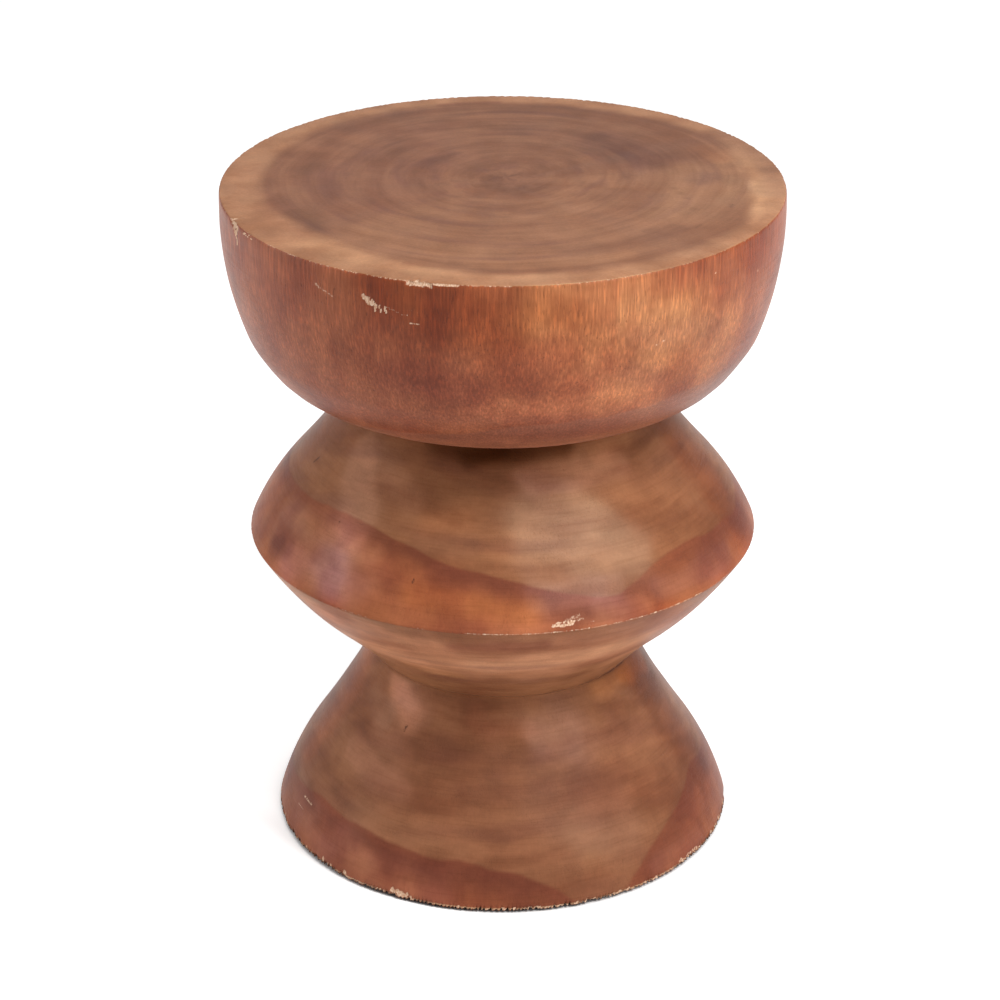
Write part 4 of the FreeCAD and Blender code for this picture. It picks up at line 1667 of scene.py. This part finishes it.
@dataclass
class WaistBlock(TurnedBlock):
    """The double cone: hollow at both necks, round towards its rim."""

    node: str = "waist_block"
    slot: str = "waist_wood"
    finishes: Sequence[LogWood] = (SIDE_WOOD,)
    seed: int = 12
    boundary: AngleTable = (
        (-180, 150), (-120, 145), (-60, 139), (-45, 136), (-30, 140), (-15, 146), (0, 151), (15, 158),
        (25, 161), (30, 159), (45, 152), (60, 153), (75, 156), (130, 150),
    )
    chips: Sequence[Chip] = (
        Chip((10.8, 217), (15, 217.2), 1.1, 0.15),
        *strewn((10.4, 218), (15.4, 218.4), 0.5, 12, (0.6, 0.8), 41),
    )
    strokes: Sequence[Stroke] = (
        Stroke((14, 219.6), (16.8, 221.8), 1.2, Trace.PALE, 0.5),
        Stroke((16, 219), (17.6, 220), 0.8, Trace.PALE, 0.5),
        Stroke((18.8, 217.6), (20, 217), 0.6, Trace.PALE, 0.4),
        Stroke((38, 128.8), (43.5, 128.5), 0.5, Trace.DARK, 0.4),
        Stroke((-8, 213.2), (46, 213.2), 0.4, Trace.PALE, 0.46),
        Stroke((-73.8, 271.8), (-72.8, 275.4), 0.7, Trace.DARK, 0.8),
        Stroke((-21.3, 237.6), (-21.2, 238.6), 0.7, Trace.DARK, 0.8),
        Stroke((-47.6, 255.6), (-47.4, 256.4), 0.6, Trace.DARK, 0.6),
        Stroke((20.5, 296), (20.8, 296.4), 0.8, Trace.DARK, 0.5),
        Stroke((-52, 258.4), (-40, 259.2), 0.6, Trace.DARK, 0.4),
        Stroke((-40, 259.2), (-26, 252.2), 0.5, Trace.DARK, 0.35),
        Stroke((-15.6, 184.4), (-3, 185.4), 0.6, Trace.DARK, 0.35),
        Stroke((-34, 178), (-15.6, 184.4), 0.6, Trace.DARK, 0.3),
    )
    stains_and_painted_light: Sequence[StainAndPaintedLight] = (
        # Painted shadow, here and on the next two lines: the dark contact shade under the bowl, laid into
        # the upper cone's colour.
        StainAndPaintedLight((-26, 311), (-3, 306), 9.0, (0.5, 0.42, 0.34), 3.4),
        StainAndPaintedLight((2, 311), (32, 315), 8.0, (0.5, 0.42, 0.34), 3.4),
        StainAndPaintedLight((-12, 304.5), (22, 309), 7.0, (0.42, 0.33, 0.24), 3.4),
        StainAndPaintedLight((-66, 226), (-61, 231), 7.0, (0.74, 0.68, 0.76)),
        StainAndPaintedLight((-80, 222), (-74, 224), 6.0, (0.84, 0.78, 0.84)),
        StainAndPaintedLight((-11, 198), (9, 201), 6.0, (0.8, 0.72, 0.76)),
        # Painted light: the whole lower cone is lightened, standing in for light thrown up from the floor.
        StainAndPaintedLight((-180, 180), (180, 180), 34.0, (1.72, 1.86, 2.14)),
        StainAndPaintedLight((-46, 190), (-30, 170), 16.0, (1.1, 1.12, 1.14)),
        StainAndPaintedLight((38, 208), (54, 180), 12.0, (0.88, 0.7, 0.6)),
        StainAndPaintedLight((-40, 206), (-56, 180), 11.0, (0.96, 0.8, 0.74)),
        # Painted highlight, here and on the next line: the reflection of the right soft box on the upper
        # cone.
        StainAndPaintedLight((10, 268), (32, 250), 21.0, (1.26, 1.58, 1.9)),
        StainAndPaintedLight((22, 272), (30, 262), 12.0, (1.1, 1.2, 1.24)),
        # Painted light: lightens the lit strip beside the painted shadow under the bowl.
        StainAndPaintedLight((9, 294), (42, 292), 9.0, (1.5, 1.6, 1.8)),
        StainAndPaintedLight((-6, 176), (36, 182), 14.0, (1.15, 1.24, 1.28)),
        StainAndPaintedLight((-30, 158), (-16, 154), 8.0, (1.22, 1.22, 1.15)),
        StainAndPaintedLight((-60, 261), (-39, 253), 7.0, (1.3, 1.36, 1.4)),
        StainAndPaintedLight((-56, 226), (-38, 224), 10.0, (1.2, 1.26, 1.4)),
        StainAndPaintedLight((-22, 256), (-8, 260), 7.0, (0.86, 0.86, 0.92)),
        StainAndPaintedLight((22, 226), (32, 221), 6.0, (1.26, 1.34, 1.4)),
        StainAndPaintedLight((-38, 286), (-28, 276), 9.0, (1.18, 1.24, 1.34)),
        StainAndPaintedLight((-46, 232), (-34, 228), 13.0, (1.0, 1.14, 1.46)),
        # Painted light: lightens the lit strip below the bowl on the right.
        StainAndPaintedLight((34, 300), (48, 299), 6.0, (1.28, 1.3, 1.28)),
        StainAndPaintedLight((12, 228), (26, 221), 10.0, (1.0, 1.08, 1.25)),
        # Painted highlight, here and on the next line: the reflection of the left soft box, a pale column
        # down the upper cone.
        StainAndPaintedLight((-52, 290), (-40, 255), 14.0, (1.42, 1.58, 1.85)),
        StainAndPaintedLight((-66, 236), (-44, 230), 15.0, (1.1, 1.3, 1.6)),
        StainAndPaintedLight((-70, 246), (-34, 246), 8.0, (1.2, 1.36, 1.46)),
        StainAndPaintedLight((-20, 268), (-12, 272), 8.0, (1.14, 1.1, 1.06)),
        StainAndPaintedLight((46, 284), (70, 274), 12.0, (0.8, 0.76, 0.78)),
        StainAndPaintedLight((-20, 231), (6, 227), 8.0, (1.14, 1.14, 1.0)),
        # Painted highlight: the lower end of the right soft box's reflection.
        StainAndPaintedLight((8, 234), (26, 232), 8.0, (1.3, 1.5, 1.75)),
        StainAndPaintedLight((38, 226), (62, 226), 8.0, (0.9, 1.0, 1.28)),
        # Painted shade at the right edge: darker and less blue, to offset the white reflection along the
        # silhouette.
        StainAndPaintedLight((78, 300), (76, 225), 22.0, (0.82, 0.62, 0.5)),
        StainAndPaintedLight((-48, 246), (-32, 234), 13.0, (1.04, 1.1, 1.22)),
        StainAndPaintedLight((8, 242), (22, 236), 8.0, (1.02, 1.06, 1.16)),
        # Painted correction at the left edge: less blue, to offset the white reflection along the
        # silhouette.
        StainAndPaintedLight((-84, 300), (-84, 225), 16.0, (1.05, 0.95, 0.86)),
    )
    edge_bare: AngleTable = (
        (-180, 0.3), (-60, 0.2), (-30, 0.3), (-5, 0.36), (12, 0.44), (40, 0.48), (52, 0.4), (80, 0.3),
    )
    edge_dirt: AngleTable = ((-180, 0.2), (-40, 0.3), (10, 0.3), (40, 0.3), (90, 0.2))
    upper_neck: float = 93.5
    lower_neck: float = 89.0
    rim_rise: float = 88.2
    upper_turn_inset: float = 25.98
    upper_turn_drop: float = 63.0
    upper_bend: float = 154.5
    upper_step: float = 0.7
    upper_closing: float = 3.0
    upper_hollow: float = 645.0
    lower_turn_inset: float = 41.81
    lower_turn_rise: float = 38.0
    lower_bend: float = 218.0
    lower_step: float = 2.4
    lower_closing: float = 0.4
    lower_hollow: float = 430.0
    rim_round: float = 1.6
    heart_margin: float = 0.4

    def knots(self) -> list[Knot]:
        """Lists the corners of the outline.

        Returns:
            The corners, from the lower neck up.
        """
        radius, foot, top = self.high.x, self.low.z, self.high.z
        return [
            Knot(self.lower_neck, foot, bend=-self.lower_hollow),
            Knot(
                radius - self.lower_turn_inset,
                foot + self.lower_turn_rise,
                bend=self.lower_bend,
                step=self.lower_step,
                closing=self.lower_closing,
            ),
            Knot(
                radius,
                foot + self.rim_rise,
                bend=self.upper_bend,
                step=self.upper_step,
                rounding=self.rim_round,
                closing=self.upper_closing,
            ),
            Knot(radius - self.upper_turn_inset, top - self.upper_turn_drop, bend=-self.upper_hollow),
            Knot(self.upper_neck, top),
        ]

    def holes(self) -> list[tuple[float, Holes, int]]:
        """Dowel holes go up from the lower neck and down from the upper one."""
        return [(self.low.z, self.lower_dowels, 1), (self.high.z, self.upper_dowels, -1)]

    def edge_place(self) -> tuple[float, float]:
        """The rim between the cones."""
        return self.high.x, self.low.z + self.rim_rise

    def all_heart_below(self) -> float:
        """The rim, because the lower cone is heartwood alone."""
        return self.low.z + self.rim_rise - self.heart_margin


@dataclass
class BaseBlock(TurnedBlock):
    """The flared base: hollow below the lower neck, round above its ragged foot edge, flat underneath."""

    node: str = "base_block"
    slot: str = "base_wood"
    finishes: Sequence[LogWood] = (SIDE_WOOD, UNDERSIDE_WOOD)
    segments: int = 1160
    crowding: float = 0.25
    seed: int = 13
    boundary: AngleTable = (
        (-180, 146), (-75, 145), (-60, 140), (-30, 143), (0, 146), (10, 150), (15, 152), (20, 157),
        (33, 157), (35, 152), (45, 147), (60, 139), (70, 135), (120, 142),
    )
    chips: Sequence[Chip] = (
        Chip((-28.2, 5.8), (-24.6, 4.6), 2.4, 0.9),
        Chip((-23.2, 3.8), (-22.8, 3.2), 1.4, 0.6),
        Chip((-51.6, 6), (-51.2, 2), 1.2, 0.8),
        Chip((-43.4, 6), (-42.6, 2), 1.6, 1.0),
        *strewn((50, 4.4), (60, 4), 1.2, 24, (2.0, 1.0), 45),
        *strewn((37, 3), (42, 3), 0.6, 10, (2.0, 0.2), 46),
        *strewn((-12, 3), (34, 3), 0.6, 44, (2.4, 0.4), 47),
        *strewn((-60, 3.4), (-30, 3.4), 1.0, 12, (0.4, 1.6), 48),
        *strewn((62, 4), (84, 4), 1.2, 14, (0.4, 2.0), 49),
        *strewn((-90, 4), (-62, 4), 1.2, 6, (0.4, 2.0), 52),
    )
    strokes: Sequence[Stroke] = (
        Stroke((-38.6, 97), (-38.2, 98), 0.8, Trace.DARK, 0.7),
        Stroke((-67.9, 30.1), (-63.1, 28.7), 0.8, Trace.PALE, 0.6),
        Stroke((-69.5, 21.6), (-66, 22.7), 0.7, Trace.PALE, 0.5),
        Stroke((45, 124.8), (50, 124.7), 0.5, Trace.DARK, 0.5),
        Stroke((51, 124.6), (57, 124.4), 0.5, Trace.DARK, 0.7),
        Stroke((58.5, 124.2), (66, 124.3), 0.5, Trace.DARK, 0.8),
        Stroke((-12, 2.8), (40, 2.8), 0.5, Trace.PALE, 0.5),
    )
    stains_and_painted_light: Sequence[StainAndPaintedLight] = (
        StainAndPaintedLight((-180, 60), (180, 60), 90.0, (0.88, 0.86, 0.92)),
        StainAndPaintedLight((-12, 70), (14, 71), 8.0, (0.84, 0.82, 0.86)),
        StainAndPaintedLight((-62, 46), (-20, 40), 9.0, (1.06, 1.1, 1.1)),
        StainAndPaintedLight((22, 40), (48, 36), 10.0, (1.1, 1.16, 1.16)),
        # Painted light: lightens the top of the base under the lower neck, where the waist shades it.
        StainAndPaintedLight((44, 122), (82, 115), 8.0, (1.5, 1.52, 1.36)),
        # Painted light: lightens the left of the base under the lower neck, where the waist shades it.
        StainAndPaintedLight((-52, 122), (-40, 115), 8.0, (1.28, 1.34, 1.48)),
        # Painted highlight: the right soft box's reflection near the top of the base.
        StainAndPaintedLight((14, 104), (34, 96), 14.0, (1.08, 1.16, 1.3)),
        StainAndPaintedLight((-50, 10), (-36, 9), 12.0, (1.08, 1.14, 1.16)),
        # Painted shade at the right edge: darker and less blue, to offset the white reflection along the
        # silhouette.
        StainAndPaintedLight((76, 110), (76, 44), 20.0, (0.72, 0.57, 0.48)),
        # Painted correction at the left edge: redder and less blue, against the white reflection along the
        # silhouette.
        StainAndPaintedLight((-82, 112), (-80, 56), 18.0, (1.25, 1.05, 0.92)),
        # Painted highlight and painted light: the left soft box's reflection just under the lower neck,
        # where the waist shades the base.
        StainAndPaintedLight((-49, 117), (-38, 104), 9.0, (1.6, 1.66, 1.72)),
        # Painted light under the lower neck, on the right.
        StainAndPaintedLight((42, 121), (62, 119), 9.0, (1.14, 1.14, 1.06)),
        StainAndPaintedLight((28, 60), (48, 55), 9.0, (1.22, 1.24, 1.24)),
        StainAndPaintedLight((-68, 46), (-50, 30), 9.0, (1.26, 1.3, 1.26)),
        StainAndPaintedLight((-58, 74), (-34, 62), 9.0, (1.26, 1.33, 1.46)),
        StainAndPaintedLight((-64, 66), (-57, 58), 11.0, (1.16, 1.22, 1.24)),
        StainAndPaintedLight((-76, 30), (-62, 24), 10.0, (1.12, 1.26, 1.4)),
        StainAndPaintedLight((-60, 104), (-50, 98), 9.0, (1.16, 1.28, 1.42)),
        StainAndPaintedLight((-8, 110), (8, 106), 9.0, (1.3, 1.28, 1.3)),
        StainAndPaintedLight((-26, 9), (-14, 8), 5.0, (1.15, 1.18, 1.2)),
        StainAndPaintedLight((18, 10), (32, 9), 6.0, (1.2, 1.26, 1.3)),
        StainAndPaintedLight((42, 92), (54, 88), 9.0, (0.88, 0.86, 0.92)),
        StainAndPaintedLight((-50, 90), (-36, 84), 8.0, (1.2, 1.22, 1.26)),
        StainAndPaintedLight((-66, 14), (-50, 10), 8.0, (1.12, 1.2, 1.34)),
        StainAndPaintedLight((44, 12), (60, 10), 8.0, (1.1, 1.2, 1.38)),
        StainAndPaintedLight((14, 70), (34, 40), 24.0, (1.02, 1.08, 1.18)),
        StainAndPaintedLight((-46, 22), (-38, 18), 9.0, (1.14, 1.2, 1.22)),
        # Painted highlight: the right soft box's reflection near the top of the base.
        StainAndPaintedLight((10, 108), (22, 96), 12.0, (1.14, 1.2, 1.28)),
        StainAndPaintedLight((24, 74), (40, 70), 9.0, (0.84, 0.8, 0.82)),
        StainAndPaintedLight((24, 26), (34, 18), 8.0, (1.14, 1.16, 1.1)),
        StainAndPaintedLight((-68, 24), (-18, 8), 16.0, (1.03, 1.1, 1.26)),
        # Painted highlight: the left soft box's reflection near the top of the base.
        StainAndPaintedLight((-46, 112), (-34, 106), 9.0, (1.1, 1.13, 1.22)),
        # Painted light under the lower neck, on the right.
        StainAndPaintedLight((62, 120), (84, 112), 9.0, (1.2, 1.1, 0.88)),
    )
    edge_bare: AngleTable = (
        (-180, 0.1), (-90, 0.1), (-60, 0.15), (-30, 0.2), (-14, 0.55), (36, 0.5), (48, 0.25), (80, 0.2),
    )
    edge_dirt: AngleTable = (
        (-180, 0.9), (-90, 1.0), (-45, 0.9), (-25, 0.6), (0, 0.4), (36, 0.36), (50, 0.8), (90, 1.0),
    )
    edge_reach: float = 2.4
    edge_dirt_reach: float = 4.2
    edge_bite: float = 1.8
    neck_radius: float = 89.0
    flare_inset: float = 24.17
    flare_rise: float = 49.7
    flare_step: float = 3.0
    foot_bend: float = 174.0
    foot_step: float = 0.9
    foot_closing: float = 3.2
    hollow: float = 560.0
    foot_round: float = 1.6
    foot_drop: float = 2.0
    foot_ring: float = 8.0
    foot_ring_step: float = 1.0
    tack_holes: Holes = Holes(120.0, 1.25, 15.5, 4, 45.0)

    def knots(self) -> list[Knot]:
        """Lists the corners of the outline.

        Returns:
            The corners, from the underside out and up to the neck.
        """
        radius, foot, top = self.high.x, self.low.z, self.high.z
        return [
            Knot(radius - self.foot_ring, foot, step=self.foot_ring_step),
            Knot(
                radius,
                foot - self.foot_drop,
                bend=self.foot_bend,
                step=self.foot_step,
                rounding=self.foot_round,
                closing=self.foot_closing,
            ),
            Knot(
                radius - self.flare_inset,
                foot + self.flare_rise,
                bend=-self.hollow,
                step=self.flare_step,
            ),
            Knot(self.neck_radius, top),
        ]

    def holes(self) -> list[tuple[float, Holes, int]]:
        """Tack holes go up from the underside, and dowel holes down from the neck."""
        return [(self.low.z, self.tack_holes, 1), (self.high.z, self.lower_dowels, -1)]

    def edge_place(self) -> tuple[float, float]:
        """The foot edge."""
        return self.high.x, self.low.z - self.foot_drop

    def level_face(self) -> float:
        """The underside."""
        return self.low.z


@dataclass
class FeltPad(Piece):
    """A round floor pad of pressed felt, with a hole for its tack and a recess for the tack's head."""

    node: str
    seed: int
    slot: str = "pad_felt"
    finish: Finish = PAD_FELT
    bore: float = 1.25
    recess: float = 3.9
    recess_depth: float = 1.5
    edge_round: float = 0.6
    step: float = 0.8
    segments: int = 128
    fuzz: float = 0.05

    def knots(self, radius: float, thick: float) -> list[Knot]:
        """Lists the corners of its section.

        Args:
            radius: The pad's radius.
            thick: Its thickness.

        Returns:
            The corners, from the tack's hole out over the upper face and back below.
        """
        return [
            Knot(self.bore, thick, step=self.step),
            Knot(radius, thick, step=self.step, rounding=self.edge_round),
            Knot(radius, 0.0, step=self.step, rounding=self.edge_round),
            Knot(self.recess, 0.0, step=self.step, rounding=self.edge_round / 2),
            Knot(self.recess, self.recess_depth, step=self.step),
            Knot(self.bore, self.recess_depth, step=self.step),
            Knot(self.bore, thick),
        ]

    def build(self) -> bpy.types.Object:
        """Makes the pad where the CAD node is.

        Returns:
            The piece.
        """
        low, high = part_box(self.node)
        size = (high - low) / MM
        section = outline_rows(self.knots(size.x / 2, size.z))[:-1]
        turns = np.linspace(0, 2 * math.pi, self.segments, endpoint=False)
        draw = np.random.default_rng(self.seed)
        fuzz = draw.normal(0, self.fuzz, (len(section), self.segments))
        across = section[:, :1] - np.abs(fuzz)
        up = np.clip(section[:, 1:] + fuzz, 0, size.z)
        rings = np.stack((across * np.cos(turns), across * np.sin(turns), up), axis=2)
        middle = np.array(((low.x + high.x) / 2, (low.y + high.y) / 2, low.z))
        mesh = bpy.data.meshes.new(f"felt_{self.node}")
        mesh.from_pydata(rings.reshape(-1, 3) * MM + middle, [], self.faces(len(section)))
        mesh.materials.append(self.finish.material())
        return self.put(mesh)

    def faces(self, rows: int) -> list[tuple[int, ...]]:
        """Joins the points of a section's rows, which close on themselves both ways.

        Args:
            rows: How many rows there are.

        Returns:
            The faces.
        """
        count = self.segments
        made = []
        for row in range(rows):
            first, second = row * count, (row + 1) % rows * count
            for turn in range(count):
                following = (turn + 1) % count
                made.append((first + turn, second + turn, second + following, first + following))
        return made


def dress_nodes(nodes: dict[str, bpy.types.Object], starts: str, finish: Finish) -> None:
    """Gives a finish to the CAD nodes that stay as they are.

    Args:
        nodes: The frame's nodes by name.
        starts: What the names of those nodes start with.
        finish: Their finish.
    """
    for name, node in nodes.items():
        if name.startswith(starts):
            for slot in node.material_slots:
                slot.material = finish.material()
            LOG.info("%s: %s", name, finish.name)


@dataclass(frozen=True)
class Lamp:
    """A soft box: where it stands as seen from the stool, how large it is and how strong."""

    name: str
    toward: tuple[float, float, float]
    away: float
    width: float
    tall: float
    watts: float


@dataclass(frozen=True)
class Studio:
    """A white studio: a floor, soft boxes, white surroundings and the camera.

    The floor's colour darkens, a painted contact shadow, where the stool covers more of its sky than
    contact_open says, most of all round contact_middle at the front, and it glows white in the open. It
    takes up its glow later from shadow_from on, measured along shadow_way, a painted soft shadow where the
    stool's shadow lies.
    """

    camera_place: tuple[float, float, float] = (-1.74, -1834.3, 1096.3)
    camera_pitch: float = 64.619
    lens: float = 109.235
    sensor: float = 36.0
    target: tuple[float, float, float] = (0.0, 0.0, 240.0)
    lamps: Sequence[Lamp] = (
        Lamp("high_right_light", (0.43, -0.43, 0.80), 1900.0, 700.0, 700.0, 26.0),
        Lamp("low_right_light", (0.68, -0.655, 0.32), 1900.0, 600.0, 500.0, 9.0),
        Lamp("high_left_light", (-0.84, 0.08, 0.54), 1900.0, 600.0, 700.0, 7.4),
        Lamp("low_left_light", (-0.965, -0.18, 0.18), 1900.0, 600.0, 400.0, 5.4),
    )
    ambient: float = 0.22
    floor_size: float = 12000.0
    floor_rise: float = -0.05
    floor_tone: float = 0.9
    floor_glow: float = 0.7
    contact_reach: float = 30.0
    contact_open: tuple[float, float] = (0.12, 0.46)
    contact_middle: float = -15.0
    contact_aside: tuple[float, float] = (50.0, 110.0)
    contact_tones: tuple[float, float] = (0.3, 0.75)
    shadow_way: tuple[float, float, float] = (-0.79, -0.62, 0.0)
    shadow_from: tuple[float, float] = (136.0, 160.0)
    glow_begins: float = 0.3
    glow_full: tuple[float, float] = (0.86, 1.15)

    def build(self) -> None:
        """Sets up the whole studio."""
        self.add_camera()
        for lamp in self.lamps:
            self.add_lamp(lamp)
        self.add_world()
        self.add_floor()
        bpy.context.scene.view_settings.view_transform = "Standard"

    def add_camera(self) -> None:
        """Places the camera in front of the stool, looking down at it."""
        data = bpy.data.cameras.new("camera")
        data.lens = self.lens
        data.sensor_width = self.sensor
        camera = bpy.data.objects.new("camera", data)
        camera.location = Vector(self.camera_place) * MM
        camera.rotation_euler = (math.radians(self.camera_pitch), 0.0, 0.0)
        bpy.context.scene.collection.objects.link(camera)
        bpy.context.scene.camera = camera

    def add_lamp(self, lamp: Lamp) -> None:
        """Hangs a soft box that faces the stool.

        Args:
            lamp: The soft box.
        """
        data = bpy.data.lights.new(lamp.name, "AREA")
        data.shape = "RECTANGLE"
        data.size, data.size_y = lamp.width * MM, lamp.tall * MM
        data.energy = lamp.watts
        thing = bpy.data.objects.new(lamp.name, data)
        toward = Vector(lamp.toward).normalized()
        thing.location = (Vector(self.target) + toward * lamp.away) * MM
        thing.rotation_euler = (-toward).to_track_quat("-Z", "Y").to_euler()
        thing.visible_camera = False
        bpy.context.scene.collection.objects.link(thing)

    def seen(self, tree: bpy.types.NodeTree) -> Socket:
        """Tells rays that show a surface, by itself or in a reflection, from those that light by it.

        Args:
            tree: The nodes of the surface.

        Returns:
            1 for a ray that shows it, and 0 for one that lights.
        """
        path = tree.nodes.new("ShaderNodeLightPath")
        found = path.outputs["Is Camera Ray"]
        for name in ("Is Glossy Ray", "Is Transmission Ray"):
            either = tree.nodes.new("ShaderNodeMath")
            either.operation = "MAXIMUM"
            tree.links.new(found, either.inputs[0])
            tree.links.new(path.outputs[name], either.inputs[1])
            found = either.outputs[0]
        return found

    def add_world(self) -> None:
        """Surrounds the stool with white, which lights it less than it shows."""
        world = bpy.data.worlds.new("white_studio")
        bpy.context.scene.world = world
        world.use_nodes = True
        tree = world.node_tree
        sky = tree.nodes["Background"]
        sky.inputs["Color"].default_value = (1.0, 1.0, 1.0, 1.0)
        strength = tree.nodes.new("ShaderNodeMapRange")
        strength.inputs["To Min"].default_value = self.ambient
        tree.links.new(self.seen(tree), strength.inputs["Value"])
        tree.links.new(strength.outputs["Result"], sky.inputs["Strength"])

    def add_floor(self) -> None:
        """Lays a floor that shows white and keeps the stool's shadow."""
        half = self.floor_size / 2 * MM
        rise = self.floor_rise * MM
        mesh = bpy.data.meshes.new("floor")
        corners = [(-half, -half, rise), (half, -half, rise), (half, half, rise), (-half, half, rise)]
        mesh.from_pydata(corners, [], [(0, 1, 2, 3)])
        floor = bpy.data.objects.new("floor", mesh)
        bpy.context.scene.collection.objects.link(floor)
        mesh.materials.append(self.floor_material())

    def floor_material(self) -> bpy.types.Material:
        """Lays the nodes of the floor.

        Returns:
            The material.
        """
        graph = NodeGraph("studio_floor")
        graph.feed(graph.shader.inputs["Roughness"], 1.0)
        graph.feed(graph.shader.inputs["Specular IOR Level"], 0.0)
        graph.feed(graph.shader.inputs["Emission Color"], (1.0, 1.0, 1.0))
        sky = graph.node("ShaderNodeAmbientOcclusion")
        graph.feed(sky.inputs["Distance"], self.contact_reach * MM)
        open_share = sky.outputs["AO"]
        place = graph.place()
        aside = graph.math("SUBTRACT", graph.axes(place)["X"], self.contact_middle)
        aside = graph.math("ABSOLUTE", aside)
        # Painted contact shadow: the floor's own colour darkens where the stool covers its sky, most at the
        # front.
        painted_contact_shade = graph.span(aside, *self.contact_aside, *self.contact_tones)
        tone = graph.span(open_share, *self.contact_open, painted_contact_shade, self.floor_tone)
        graph.feed(graph.shader.inputs["Base Color"], tone)
        # Painted soft shadow: the glow comes in later toward shadow_way, beside the stool.
        toward_shadow = graph.vector("DOT_PRODUCT", place, self.shadow_way)
        painted_shadow_glow_end = graph.span(toward_shadow, *self.shadow_from, *self.glow_full)
        glow = graph.span(open_share, self.glow_begins, painted_shadow_glow_end, 0.0, self.floor_glow)
        glow = graph.math("MULTIPLY", self.seen(graph.tree), glow)
        graph.feed(graph.shader.inputs["Emission Strength"], glow)
        return graph.material


def main() -> None:
    """Loads the frame, builds the pieces and the studio."""
    logging.basicConfig(level=logging.INFO, format="%(name)s: %(message)s")
    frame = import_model()
    pads = [FeltPad(f"floor_pad_{number}", number) for number in range(1, PAD_COUNT + 1)]
    for maker in (SeatBlock(), WaistBlock(), BaseBlock(), *pads):
        piece = maker.build()
        LOG.info("%s: %d faces", piece.name, len(piece.data.polygons))
    kept_finishes = {"upper_dowel": DOWEL_WOOD, "lower_dowel": DOWEL_WOOD, "pad_tacks": TACK_STEEL}
    for starts, finish in kept_finishes.items():
        dress_nodes(frame["nodes"], starts, finish)
    Studio().build()


if __name__ == "__main__":
    main()
